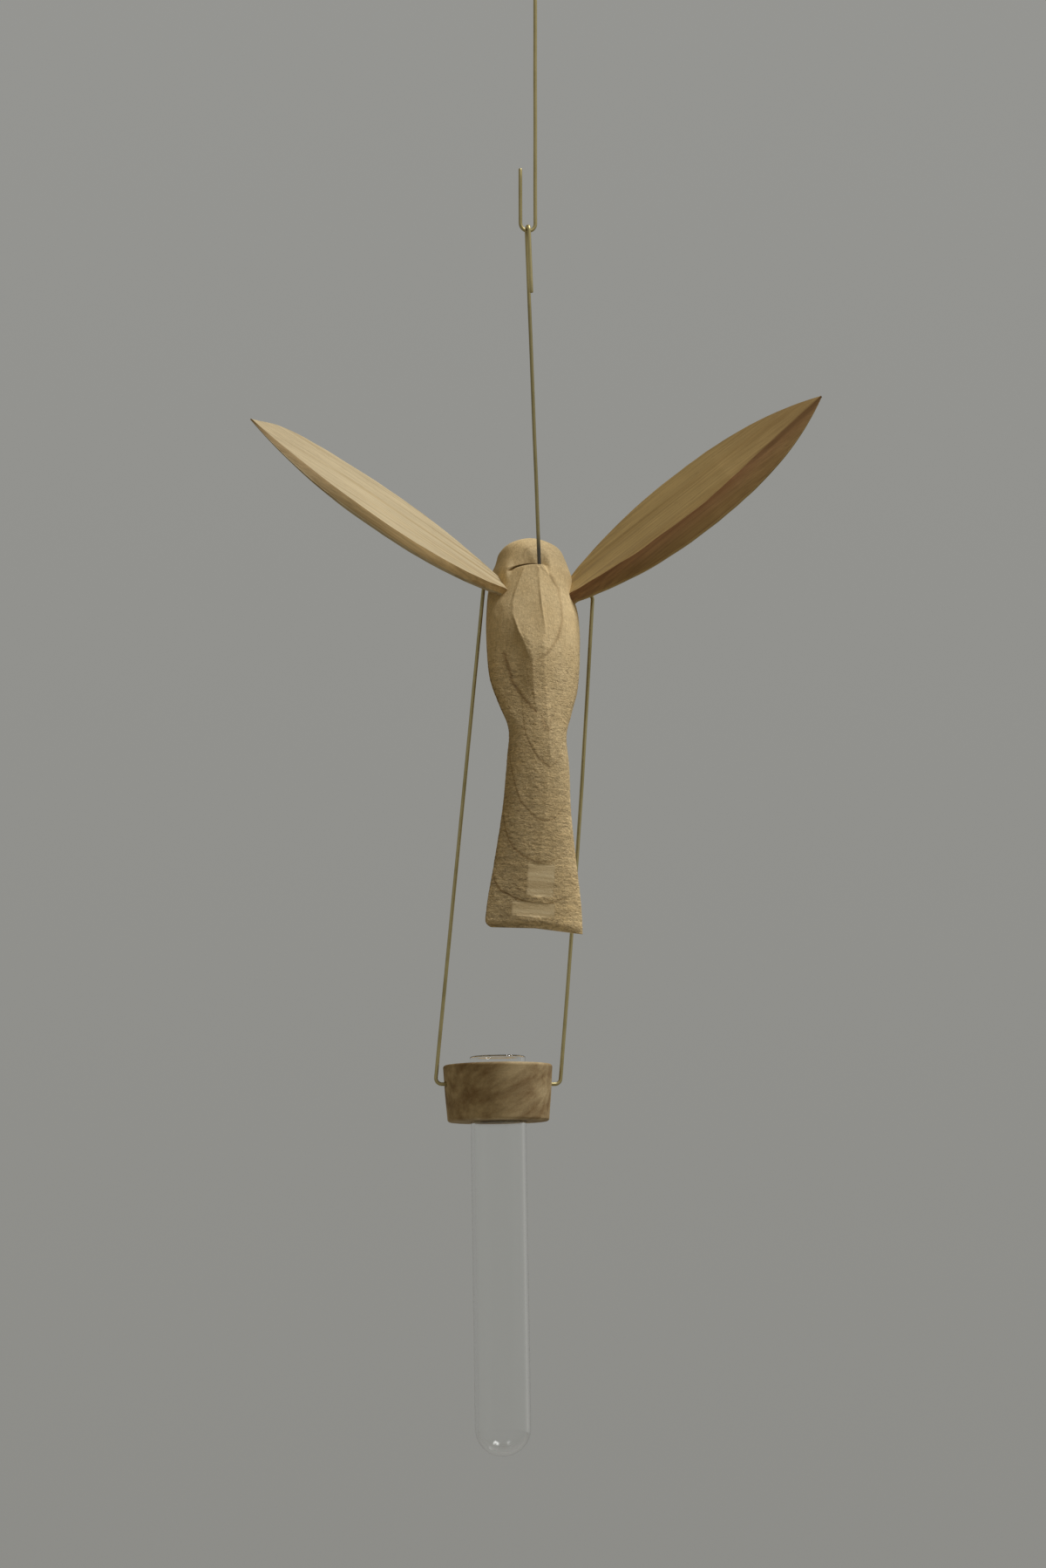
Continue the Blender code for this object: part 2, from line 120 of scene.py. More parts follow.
# The back ridge drifts to the right about the waist, and the tail's end dips to both sides
RIDGE_DRIFT, RIDGE_DRIFT_AT, RIDGE_DRIFT_REACH = 1.6, -44.0, 22.0
TAIL_DIP, TAIL_END, TAIL_DIP_REACH = 1.3, -94.2, 12.0

# Nape and head; a pair named OVER is a stretch of stations past the nape
NAPE_BACK = 11
NAPE_HEAD = 12
NAPE_FULLNESS = 0.24
NAPE_FULL_STATIONS = 3
NAPE_ARCH, NAPE_ARCH_OVER, NAPE_ARCH_BEHIND = 0.024, ((-3.0, -1.0), (0.5, 2.0)), (-0.4, 0.3)
HEAD_LEAN, HEAD_LEAN_OVER = 0.9, (0.7, 2.4)
HEAD_SLOPE, HEAD_SLOPE_OVER = 0.08, (0.0, 1.5)
HEAD_TUCK, HEAD_TUCK_OVER = 0.17, (0.5, 2.3)
HEAD_FADE_OVER = (3.0, 6.0)
# The nape step dies out to both sides of the wire, over these stretches of x, into one even back line (y, z)
HEALED_LEFT = (-9.0, -6.0)
HEALED_RIGHT = (0.6, 3.2)
HEALED_BACK = (-9.0, 1.4)
HEALED_HEAD = (-6.6, 6.2)
HEALED_ROUND_OVER = (-1.5, 0.0)
HEALED_FULL_OVER = (-2.2, 0.4)
# The painted shadow line under the nape step, by stations and by x
CREASE_FROM, CREASE_END_OVER = -0.9, (0.0, 0.12)
CREASE_X = ((-7.8, -3.2), (0.3, 1.6))

# Knife flats: a point, the way out of the wood, and the outline (x, z) on the back
FLATS = (
    ((-3.7, -11.21, -7.77), (-0.27, -0.906, 0.326),
     ((-4.6, 4.7), (-7.1, -2.3), (-8.2, -6.1), (-7.9, -8.9), (-6.8, -13.1), (-5.3, -17.3), (-4.0, -19.2),
      (0.7, -18.1), (0.6, -12.7), (-0.2, -6.6), (-0.5, 1.0), (-1.1, 5.3))),
    ((1.99, -11.32, -6.28), (0.166, -0.928, 0.333),
     ((-1.1, 5.3), (-0.5, 1.0), (-0.2, -6.6), (0.6, -12.7), (0.7, -18.1), (0.9, -20.0), (4.1, -15.2),
      (5.7, -10.0), (5.6, -5.8), (4.9, -0.8), (2.9, 2.7), (0.4, 4.9))),
)
FLAT_EASE = 0.45
FLAT_FILL, FLAT_DEEPEST = -0.3, 1.0
FACES_BACK = 0.05
# The long flat low on the left: crisp along its right edge, running out softly round the flank
FLANK_POINT = (-3.92, -15.84, -24.3)
FLANK_OUT = (-0.585, -0.80, 0.12)
FLANK_EDGE = (
    (-8.2, -6.9), (-6.8, -13.6), (-4.5, -20.4), (-3.2, -23.3), (-2.4, -27.6), (-2.4, -31.9), (-2.2, -34.4),
    (-1.7, -36.5), (-0.5, -46.0), (-20.0, -46.0), (-20.0, -6.9))
FLANK_CRISP, FLANK_SOFT, FLANK_SOFT_LEFT = 0.02, 1.6, (-7.5, -3.5)
FLANK_Z = ((-46.0, -28.0), (-21.0, -5.0))
FLANK_DEEPEST = 2.0
FLANK_NEAR = (1.0, 3.0)
# Small cuts, spread evenly along and round the body
CUTS = 70
CUT_ROWS = (0.05, 0.6)
CUT_ALONG, CUT_AROUND, CUT_AROUND_FROM = 0.6180339887, 0.7548776662, 0.11
CUT_DEPTH, CUT_DEPTH_MORE, CUT_DEPTH_TURN = 0.05, 0.06, 0.37
CUT_REACH = (0.5, 5.0)
# Chiselled patches on the tail: stretches of x and z, how far they stand in and how softly they end
CHISELLED = (((-3.3, 4.7), (-86.4, -77.2)), ((-7.0, 5.3), (-91.9, -87.7)))
CHISEL_DEPTH = 0.03
CHISEL_EASE = 0.6
TAIL_EASE = 2.4
TAIL_CHAMFER = 0.7
TAIL_HALF = 1.6
TAIL_CORNER = 0.12
TAIL_RIMS = ((0.955, -0.06), (0.985, -0.03))
# Torn grain on the lower back: where it sets in, how its strokes turn and waver, and depth, cells and seed
TEAR_Z = (-8.0, -26.0)
TEAR_TURN = np.array(Matrix.Rotation(0.4, 3, (0.3, 1.0, 0.2)))
TEAR_WAVE, TEAR_WAVE_CELLS, TEAR_WAVE_SEEDS = 1.1, 0.45, (31, 32, 33)
TEARS = ((0.045, (1.1, 1.1, 2.6), 5), (0.03, (2.0, 2.0, 3.6), 6))
TEAR_LEAST = 0.25
TEAR_TAIL_ROWS, TEAR_BEAK_ROWS = 3.0, 12.0
# Growth lines that the flats cut open on the back and the left flank: strength and run (x, z)
OPEN_RINGS = (
    (0.42, ((2.9, 2.7), (4.9, -0.8), (5.6, -5.8), (5.7, -10.0), (4.1, -15.2), (0.6, -20.1), (-1.7, -21.7))),
    (0.68, ((-10.5, -19.8), (-9.8, -23.0), (-8.7, -27.8), (-5.5, -32.6), (-2.2, -36.3))),
)
OPEN_RING_WIDTH = 0.42
# Growth layers lie across the depth of the block: z less this many times y is the same all over a layer
LAYER_DIP = 2.9
LAYERS = (26.5, 19.6, 13.0, -0.5, -12.3, -25.2, -37.0, -48.5, -59.0)
LAYER_STEP, LAYER_STEP_LENGTH, LAYER_STEP_LEAST = 0.05, 1.6, 0.1
LAYER_WAVE, LAYER_WAVE_CELLS, LAYER_WAVE_SEED = 0.5, 0.35, 9

# Wings
WING_LENGTH = 87.0
WING_CHORD = 20.0
WING_WIDEST = 0.45
WING_TIP_FULLNESS = 2.6
WING_ROOT_FULLNESS = 2.0
WING_AHEAD = 0.445
WING_SWEEP = math.radians(15.2)
WING_BELLY = 0.9
WING_EDGE = 0.3
WING_TIP_CUT = 1.1
WING_HOLLOW = 0.05
WING_SHARP = math.radians(15.0)
WING_THINS_FROM = 0.61
WING_TIP_SLIM = 0.15
WING_TIP_FULL_AT = ((0.6, 0.88), (0.88, 0.995))
WING_BEVEL_WIDENS = (0.5, 0.95)
WING_ROOT = Vector((9.9, -3.0, -0.6)) * MM
WING_INSET = 3.0
WING_SECTIONS = 150
WING_CROWDED = 1.25
# Sides of a section: face, bevel, trailing edge, belly behind, belly ahead, leading edge
WING_POINTS = (18, 9, 2, 9, 9, 2)
WING_UPPER_SIDES = 2
WING_FACE_SWELL, WING_BELLY_SWELL, WING_SWELL_CHORD = 0.10, 0.06, 8.0
# Waver of trailing edge, leading edge and ridge; length and noise row of its slow and its quick wave
WING_WAVER = (0.10, 0.08, 0.15)
WING_WAVES = ((7.0, 0.5), (3.1, 4.5))
CHOP_DEPTH, CHOP_LENGTH, CHOP_WIDTH, CHOP_FADE = 0.05, 5.5, 1.1, 14.0
NO_RIDGE = 9.0

# bevels: the bevel's share of the chord at root and tip; tip_full: how much fuller the tip is in front
Wing = namedtuple("Wing", "side rise pitch bevels ridge tip_full seed face line bevel_tint bevel_end tip_shade")
# face and line: each wing's grain colours; one wood, painted lighter and paler on the lit left wing and deeper
# and more saturated on the shaded right wing
WINGS = {
    "left_wing": Wing(
        side=-1, rise=math.radians(24.4), pitch=math.radians(47.0), bevels=(0.09, 0.18), ridge=1.9, tip_full=1.2,
        seed=2, face=(0.52, 0.43, 0.27), line=(0.42, 0.325, 0.18),
        bevel_tint=(1.4, 1.22, 0.96), bevel_end=0.6, tip_shade=0.12),
    "right_wing": Wing(
        side=1, rise=math.radians(42.4), pitch=math.radians(55.0), bevels=(0.29, 0.42), ridge=2.35, tip_full=0.0,
        seed=7, face=(0.425, 0.306, 0.134), line=(0.375, 0.262, 0.11),
        bevel_tint=(0.75, 0.55, 0.60), bevel_end=1.0, tip_shade=0.55),
}

# Collar and tube, with heights from the bail's feet; the tube's support rings keep its long wall true
COLLAR_BORE_R = 7.8
COLLAR_TOP, COLLAR_BOTTOM = 5.2, -10.1
COLLAR_TOP_R, COLLAR_BOTTOM_R = 14.7, 13.7
COLLAR_EASE, COLLAR_BORE_EASE = 0.75, 0.4
COLLAR_SWELL = 0.08
COLLAR_STEPS = 60
COLLAR_SIDES = 160
TOOL_LINE, TOOL_LINE_TURNS = 0.006, 9.0
TUBE_R, TUBE_WALL, TUBE_LENGTH = 7.5, 1.0, 107.0
TUBE_TOP = 7.5
TUBE_SUPPORT = 0.3
TUBE_SIDES = 128
TUBE_BOTTOM_STEPS, TUBE_RIM_STEPS = 24, 12
SAME_POINT = 0.002 * MM

# Stage
FLOOR_Z = -0.75
FLOOR_HALF = 3
FLOOR_COLOR, FLOOR_PALE, FLOOR_PALE_SHARE = (0.42, 0.415, 0.39), (0.30, 0.30, 0.285), 0.75
AMBIENT_COLOR, AMBIENT_LIGHT = (1.0, 0.81, 0.49), 0.2
BACKDROP = ((0.46, (0.258, 0.256, 0.238)), (0.66, (0.312, 0.312, 0.297)))
ROOM_LIGHT, ROOM_Y = 1.3, (0.75, -0.5)
WINDOW_LIGHT, WINDOW_X = 0.25, (0.45, 0.9)
KEY_SIZE, KEY_ENERGY = 0.6, 24.5
KEY_FROM, KEY_DISTANCE = Vector((0.42, -0.22, 0.88)), 1.6
KEY_AT = Vector((0, 0, -0.24))
CAMERA_PLACE = (-0.40955, -1.5234, -0.41662)
CAMERA_YAW, CAMERA_PITCH = math.radians(15.0), math.radians(6.5)
CAMERA_LENS, CAMERA_SENSOR = 135.0, 36.0


def smooth(low, high, value):
    """0 at low and before it, 1 at high and past it, and an even ease between them."""
    share = np.clip((value - low) / (high - low), 0.0, 1.0)
    return share * share * (3 - 2 * share)


def window(edges, value):
    """Up from 0 to 1 over the first pair of edges, and back to 0 over the second."""
    rise, fall = edges
    return smooth(*rise, value) * (1 - smooth(*fall, value))


def unit(vector):
    """The vector at length 1."""
    return np.array(vector) / np.linalg.norm(vector)


def lattice(points, seed):
    """Even noise from -1 to 1 at each point, the same on every run."""
    cell = np.floor(points).astype(np.int64)
    part = points - cell
    part = part * part * (3 - 2 * part)
    total = np.zeros(points.shape[:-1])
    for corner in range(8):
        step = np.array([(corner >> axis) & 1 for axis in range(3)])
        spot = cell + step
        code = spot @ HASH + seed * HASH_SEED
        code = (code ^ (code >> 13)) * HASH_STIR
        value = ((code ^ (code >> 16)) & 0xFFFF) / 32767.5 - 1
        weight = np.prod(np.where(step == 1, part, 1 - part), axis=-1)
        total += value * weight
    return total


def link(name, data):
    """A new object in the scene."""
    made = bpy.data.objects.new(name, data)
    bpy.context.scene.collection.objects.link(made)
    return made


def object_from(name, points, faces, material, place, same=0.0):
    """Smooth object with outward faces from points in millimetres; points no further apart than same are one."""
    mesh = bpy.data.meshes.new(name)
    mesh.from_pydata([tuple(place @ Vector(point)) for point in np.array(points) * MM], [], faces)
    shape = bmesh.new()
    shape.from_mesh(mesh)
    if same:
        bmesh.ops.remove_doubles(shape, verts=shape.verts, dist=same)
    bmesh.ops.recalc_face_normals(shape, faces=shape.faces)
    shape.to_mesh(mesh)
    shape.free()
    mesh.shade_smooth()
    mesh.materials.append(material)
    return link(name, mesh)


def quads(rows, around, closed=False):
    """Faces of a grid that runs round, and with closed from its last row to its first too."""
    faces = []
    for row in range(rows if closed else rows - 1):
        low, high = row * around, (row + 1) % rows * around
        for spot in range(around):
            after = (spot + 1) % around
            faces.append((low + spot, low + after, high + after, high + spot))
    return faces


def skin(name, grid, material, place=Matrix()):
    """Object from a grid of points, closed with a fan about the middle of each end."""
    rows, around = grid.shape[:2]
    points = np.concatenate([grid.reshape(-1, 3), grid[:1].mean(axis=1), grid[-1:].mean(axis=1)])
    faces = quads(rows, around)
    end, first, last = (rows - 1) * around, rows * around, rows * around + 1
    for spot in range(around):
        after = (spot + 1) % around
        faces += [(after, spot, first), (end + spot, end + after, last)]
    return object_from(name, points, faces, material, place)


def mark_points(piece, name, values):
    """Write one number per point of a piece, for its material to read."""
    mark = piece.data.attributes.new(name, "FLOAT", "POINT")
    mark.data.foreach_set("value", np.array(values, dtype=np.float32))


def drill(piece, start, end, radius=HOLE_R):
    """Bore a round hole through a piece, from one point of the row frame to another."""
    along = end - start
    mesh = bpy.data.meshes.new("drill")
    shape = bmesh.new()
    place = Matrix.Translation((start + end) / 2) @ along.to_track_quat("Z", "Y").to_matrix().to_4x4()
    bmesh.ops.create_cone(shape, cap_ends=True, segments=HOLE_SIDES, radius1=radius, radius2=radius,
                          depth=along.length, matrix=place)
    shape.to_mesh(mesh)
    shape.free()
    mesh.shade_smooth()
    tool = link("drill", mesh)
    modifier = piece.modifiers.new("drill", "BOOLEAN")
    modifier.operation = "DIFFERENCE"
    modifier.solver = "EXACT"
    modifier.object = tool
    bpy.context.view_layer.update()
    solid = bpy.data.meshes.new_from_object(piece.evaluated_get(bpy.context.evaluated_depsgraph_get()))
    old = piece.data
    piece.modifiers.clear()
    piece.data = solid
    bpy.data.meshes.remove(old)
    bpy.data.objects.remove(tool, do_unlink=True)


def dress(piece, body, slot, *nodes):
    """Fix a finished piece to its body in place of the solids that it stands for."""
    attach(piece, body)
    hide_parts(*nodes)


class Nodes:
    """Short ways to add nodes to a tree."""

    def __init__(self, tree):
        self.tree = tree

    def put(self, socket, value):
        if isinstance(value, bpy.types.NodeSocket):
            self.tree.links.new(value, socket)
        else:
            socket.default_value = value

    def add(self, kind, inputs=(), **settings):
        node = self.tree.nodes.new(kind)
        for key, value in settings.items():
            setattr(node, key, value)
        for key, value in dict(inputs).items():
            self.put(node.inputs[key], value)
        return node

    def axes(self, vector):
        return self.add("ShaderNodeSeparateXYZ", {0: vector}).outputs

    def noise(self, vector, scale=1.0, detail=3.0, roughness=0.55, twist=0.0):
        return self.add("ShaderNodeTexNoise", {
            "Vector": vector, "Scale": scale, "Detail": detail, "Roughness": roughness,
            "Distortion": twist}).outputs["Fac"]

    def math(self, operation, a, b=0.0):
        return self.add("ShaderNodeMath", {0: a, 1: b}, operation=operation).outputs[0]

    def times(self, a, b):
        return self.math("MULTIPLY", a, b)

    def span(self, value, low, high, to_low=0.0, to_high=1.0, ease="LINEAR"):
        """The value carried from one stretch to another and held at its ends."""
        return self.add("ShaderNodeMapRange", {
            "Value": value, "From Min": low, "From Max": high, "To Min": to_low, "To Max": to_high},
            interpolation_type=ease).outputs[0]

    def ramp(self, value, stops):
        node = self.add("ShaderNodeValToRGB", {"Fac": value})
        marks = node.color_ramp.elements
        while len(marks) < len(stops):
            marks.new(0.5)
        for mark, (place, _) in zip(marks, stops):
            mark.position = place
        for mark, (_, color) in zip(marks, stops):
            mark.color = (*color, 1.0)
        return node.outputs["Color"]

    def mix(self, share, a, b, blend="MIX"):
        node = self.add("ShaderNodeMix", data_type="RGBA", blend_type=blend)
        for spot, value in ((0, share), (6, a), (7, b)):
            plain = isinstance(value, tuple) and len(value) == 3
            self.put(node.inputs[spot], (*value, 1.0) if plain else value)
        return node.outputs[2]

    def grey(self, value):
        return self.add("ShaderNodeCombineColor", {0: value, 1: value, 2: value}).outputs[0]

    def tint(self, color, by, share=1.0):
        """The colour times another one."""
        return self.mix(share, color, by, "MULTIPLY")

    def shade(self, color, by, share=1.0):
        """The colour times a number."""
        return self.tint(color, self.grey(by), share)

    def seen(self):
        """1 for rays that come from the camera, off metal or through glass, and 0 for the rest."""
        path = self.add("ShaderNodeLightPath").outputs
        bent = self.math("MAXIMUM", path["Is Glossy Ray"], path["Is Transmission Ray"])
        return self.math("MAXIMUM", path["Is Camera Ray"], bent)

    def output(self, name, share, a, b):
        """Show a mix of two shaders."""
        both = self.add("ShaderNodeMixShader", {0: share, 1: a.outputs[0], 2: b.outputs[0]})
        self.put(self.tree.nodes[name].inputs["Surface"], both.outputs[0])


class Surface(Nodes):
    """A Principled material laid out in the frame of its piece."""

    def __init__(self, name, place=Matrix(), **constants):
        self.place = place
        self.material = bpy.data.materials.new(name)
        self.material.use_nodes = True
        super().__init__(self.material.node_tree)
        self.shader = self.tree.nodes["Principled BSDF"]
        for key, value in constants.items():
            self.shader.inputs[key.replace("_", " ")].default_value = value

    def millimetres(self, stretch=(1.0, 1.0, 1.0)):
        """Places in the piece's own frame, in millimetres times the stretch."""
        local = self.add("ShaderNodeMapping", {
            "Vector": self.add("ShaderNodeTexCoord").outputs["Object"],
            "Location": self.place.translation, "Rotation": self.place.to_euler()}, vector_type="TEXTURE")
        scaled = self.add("ShaderNodeVectorMath", {
            0: local.outputs[0], 1: [share / MM for share in stretch]}, operation="MULTIPLY")
        return scaled.outputs[0]

    def grain(self, cells, detail=3.0, roughness=0.55, twist=0.0):
        """Noise with its own count of cells per millimetre along each axis."""
        return self.noise(self.millimetres(cells), 1.0, detail, roughness, twist)

    def mark(self, name):
        """A number that was written to the points of the piece."""
        return self.add("ShaderNodeAttribute", attribute_name=name).outputs["Fac"]

    def finish(self, color, roughness=None, height=None, depth=0.0, strength=1.0):
        """Set the colour, the roughness and a bump of this depth, and hand over the material."""
        self.put(self.shader.inputs["Base Color"], color)
        if roughness is not None:
            self.put(self.shader.inputs["Roughness"], roughness)
        if height is not None:
            bump = self.add("ShaderNodeBump", {"Height": height, "Distance": depth, "Strength": strength})
            self.put(self.shader.inputs["Normal"], bump.outputs[0])
        return self.material


def late_wood(s, place):
    """How much of the dark late wood of the growth layers shows at each place of the body; fainter to the right
    as painted light.
    """
    axes = s.axes(place)
    x, y, z = axes["X"], axes["Y"], axes["Z"]
    drift = s.span(s.noise(place, 0.11, 2.0), 0.0, 1.0, -1.6, 1.6)
    layer = s.math("ADD", s.math("SUBTRACT", z, s.times(y, LAYER_DIP)), drift)
    low, high = LAYERS[-1] - 6.0, LAYERS[0] + 8.0
    stops = [(0.0, (0.0, 0.0, 0.0))]
    for ring in reversed(LAYERS):
        for offset, dark in ((-0.8, 0.0), (-0.15, 1.0), (0.12, 0.0)):
            stops.append(((ring + offset - low) / (high - low), (dark, dark, dark)))
    late = s.ramp(s.span(layer, low, high), stops)
    # The growth lines are real late wood; their fading towards the right is painted light, for the light falling
    # from the right.
    late = s.times(late, s.span(x, -3.0, 7.0, 0.75, 0.35))
    on_tail, on_head = s.span(z, -34.0, -40.0), s.span(z, 4.0, 8.0, 0.0, 0.5)
    late = s.times(late, s.math("MAXIMUM", on_tail, on_head))
    return s.math("MAXIMUM", late, s.mark("lines"))


def body_wood():
    """Knife-cut pale wood with growth layers, rough across the grain on the lower body, with painted light and
    shade on its sides, on its head and under the nape step.
    """
    light, deep = (0.66, 0.517, 0.295), (0.56, 0.415, 0.212)
    late_brown, fleck_brown, crease_shadow_brown = (0.25, 0.15, 0.06), (0.27, 0.165, 0.07), (0.10, 0.06, 0.03)
    pared = [(0.32, (0.54, 0.42, 0.24)), (0.5, (0.76, 0.62, 0.385)), (0.66, (0.88, 0.75, 0.50))]
    untouched = (1.0, 1.0, 1.0)
    s = Surface("whittled_wood", BIRD, Specular_IOR_Level=0.12)
    place = s.millimetres()
    axes = s.axes(place)
    x, z = axes["X"], axes["Z"]
    rough = s.span(z, -10.0, -26.0)
    upright = s.grain((2.4, 2.4, 0.13), 4.0, 0.6)
    across = s.grain((0.6, 0.6, 2.8), 5.0, 0.7, 0.9)
    grain = s.add("ShaderNodeMix", {0: rough, 2: upright, 3: across}).outputs[0]
    speck = s.noise(place, 1.7, 5.0, 0.7)
    fleck = s.span(s.grain((0.9, 0.9, 2.8), 2.0, 0.55, 0.9), 0.58, 0.68)
    fleck = s.times(fleck, s.span(rough, 0.0, 1.0, 0.1, 0.8))
    planed = s.mark("planed")

    color = s.mix(s.span(s.noise(place, 0.14, 3.0), 0.35, 0.75, 0.0, 0.6), light, deep)
    # Painted light and shade: the lower body is lightened on its right and darkened on its left, as the light
    # falls from the right.
    flank = s.times(s.span(x, -8.0, 9.0, -1.0, 1.0), s.span(z, -50.0, -84.0, 0.05, 0.24))
    color = s.shade(color, s.math("ADD", flank, 1.0))
    # Painted shade and light on the head: the right of its top is darkened and its left lightened.
    crown = s.span(s.math("ADD", z, s.times(x, 0.5)), 5.0, 11.0)
    color = s.tint(color, s.mix(crown, untouched, s.grey(s.span(x, -6.0, 6.0, 1.08, 0.66))))
    # Painted light: the far left edge of the body is lightened.
    color = s.shade(color, s.span(x, -13.0, -8.0, 1.2, 1.0))
    color = s.mix(late_wood(s, place), color, late_brown)
    even, torn = s.span(grain, 0.25, 0.75, 0.82, 1.15), s.span(grain, 0.3, 0.7, 0.58, 1.32)
    color = s.tint(color, s.mix(rough, s.grey(even), s.grey(torn)))
    scrape = s.span(s.grain((0.13, 0.13, 1.5), 4.0, 0.6), 0.35, 0.65, 0.82, 1.16)
    color = s.tint(color, s.mix(s.span(z, -46.0, -62.0), untouched, s.grey(scrape)))
    color = s.shade(color, s.span(speck, 0.25, 0.75, 0.81, 1.18))
    color = s.mix(s.times(fleck, 0.5), color, fleck_brown)
    color = s.mix(s.times(planed, 0.85), color, s.ramp(s.grain((0.06, 0.06, 1.0), 3.0, 0.6), pared))
    # Painted shadow: the crease under the nape step is darkened.
    color = s.mix(s.times(s.mark("crease_shadow"), 0.55), color, crease_shadow_brown)

    fuzz = s.times(speck, s.span(rough, 0.0, 1.0, 0.3, 1.0))
    height = s.math("ADD", s.times(grain, s.span(rough, 0.0, 1.0, 0.3, 0.8)), fuzz)
    height = s.math("SUBTRACT", height, s.times(fleck, 0.7))
    height = s.times(height, s.span(planed, 0.0, 1.0, 1.0, 0.3))
    return s.finish(color, s.span(speck, 0.2, 0.8, 0.66, 0.86), height, 0.26 * MM, 0.9)


def wing_wood(name, place, wing):
    """Planed wood with long quiet grain; the knife-cut bevel is tinted, and the tip and a streak along the ridge
    near it are darker.
    """
    root_brown, ridge_streak_brown = (0.26, 0.18, 0.09), (0.10, 0.05, 0.02)
    tip_brown, pore_brown = (0.22, 0.13, 0.05), (0.25, 0.16, 0.07)
    s = Surface(name, place, Specular_IOR_Level=0.15)
    x = s.axes(s.millimetres())["X"]
    bands = s.grain((0.006, 0.42, 0.6))
    fibre = s.grain((0.03, 2.1, 2.1), 4.0, 0.7)
    patch = s.grain((0.03, 0.12, 0.12), 2.0)
    color = s.mix(s.span(bands, 0.5, 0.68), wing.face, wing.line)
    color = s.shade(color, s.span(fibre, 0.3, 0.7, 0.77, 1.19), 0.9)
    color = s.shade(color, s.span(patch, 0.3, 0.7, 0.93, 1.06), 0.9)
    root = s.span(s.grain((0.012, 0.8, 0.8), 1.0), 0.54, 0.60, 0.0, 0.42)
    color = s.mix(s.times(root, s.span(x, 38.0, 10.0)), color, root_brown)
    ridge = s.mark("from_ridge")
    bevel = s.mix(s.span(ridge, 0.0, -4.0, 1.0, 0.35), color, s.tint(color, wing.bevel_tint))
    bevel = s.shade(bevel, s.span(x, 25.0, 60.0, 1.0, wing.bevel_end))
    color = s.mix(s.span(ridge, 0.02, -0.02), color, bevel)
    # A darker streak along the ridge near the tip.
    ridge_streak = s.times(s.span(ridge, 0.5, 0.2), s.span(ridge, -1.5, -0.9))
    ridge_streak = s.times(ridge_streak, s.span(x, 56.0, 68.0))
    color = s.mix(s.times(ridge_streak, wing.tip_shade), color, ridge_streak_brown)
    color = s.mix(s.span(x, 50.0, 86.0, 0.0, wing.tip_shade), color, tip_brown)
    pore = s.span(s.grain((0.35, 3.4, 3.4), 1.0), 0.66, 0.74)
    color = s.mix(s.times(pore, 0.25), color, pore_brown)
    height = s.math("SUBTRACT", fibre, s.times(pore, 0.5))
    return s.finish(color, s.span(fibre, 0.2, 0.8, 0.5, 0.68), height, 0.06 * MM, 0.7)


def collar_wood():
    """Turned wood, blotched, with its grain running a little uphill across the ring."""
    browns = [(0.36, (0.265, 0.178, 0.088)), (0.5, (0.395, 0.295, 0.163)), (0.64, (0.53, 0.417, 0.246))]
    s = Surface("turned_wood", COLLAR_GRAIN, Specular_IOR_Level=0.12)
    fibre = s.grain((0.14, 0.8, 0.8), 4.0, 0.65)
    speck = s.noise(s.millimetres(), 1.9, 4.0, 0.7)
    color = s.ramp(s.grain((0.07, 0.22, 0.22), 4.0, 0.6), browns)
    color = s.shade(color, s.span(fibre, 0.25, 0.75, 0.82, 1.16), 0.85)
    color = s.shade(color, s.span(speck, 0.25, 0.75, 0.88, 1.12), 0.8)
    height = s.math("ADD", s.times(fibre, 0.6), s.times(speck, 0.7))
    return s.finish(color, s.span(speck, 0.2, 0.8, 0.6, 0.8), height, 0.12 * MM, 0.7)


def brass():
    """Drawn brass wire, dulled by handling; the hanging wire is darker along its long run, and dark grey at its
    lower end by the nape.
    """
    yellows = [(0.3, (0.365, 0.305, 0.142)), (0.5, (0.46, 0.385, 0.187)), (0.75, (0.515, 0.435, 0.22))]
    nape_end_grey = (0.07, 0.07, 0.075)
    s = Surface("dull_brass", Metallic=1.0)
    place = s.millimetres()
    tarnish = s.noise(place, 0.09, 4.0, 0.6)
    z = s.axes(place)["Z"]
    # The hanging wire's long run is darker.
    darker_run = s.times(s.span(z, -180.0, -178.0), s.span(z, -101.0, -107.0))
    color = s.shade(s.ramp(tarnish, yellows), s.span(darker_run, 0.0, 1.0, 1.0, 0.7))
    # The hanging wire's lower end, by the nape, is dark grey.
    nape_end = s.times(s.span(z, -179.0, -177.0), s.span(z, -168.0, -173.0))
    color = s.mix(s.times(nape_end, 0.85), color, nape_end_grey)
    return s.finish(color, s.span(tarnish, 0.25, 0.75, 0.52, 0.38), s.noise(place, 3.5, 3.0), 0.02 * MM, 0.4)


def glass():
    """Clear tube glass with faint drawing lines."""
    s = Surface("tube_glass", Transmission_Weight=1.0, IOR=1.47, Roughness=0.0)
    lines = s.grain((0.5, 0.5, 0.02), 2.0)
    color = s.ramp(lines, [(0.0, (0.965, 0.97, 0.966)), (1.0, (0.985, 0.988, 0.985))])
    return s.finish(color, None, lines, 0.02 * MM, 0.25)


def floor_paper():
    """Stage paper with a faint tooth; what looks at it sees it partly as the pale backdrop."""
    s = Surface("floor_paper", Specular_IOR_Level=0.2)
    tooth = s.noise(s.millimetres(), 0.05, 3.0)
    color = s.ramp(tooth, [(0.3, tuple(c * 0.97 for c in FLOOR_COLOR)), (0.7, FLOOR_COLOR)])
    paper = s.finish(color, s.span(tooth, 0.0, 1.0, 0.8, 0.9))
    glow = s.add("ShaderNodeEmission", {"Color": (*FLOOR_PALE, 1.0)})
    s.output("Material Output", s.times(s.seen(), FLOOR_PALE_SHARE), s.shader, glow)
    return paper


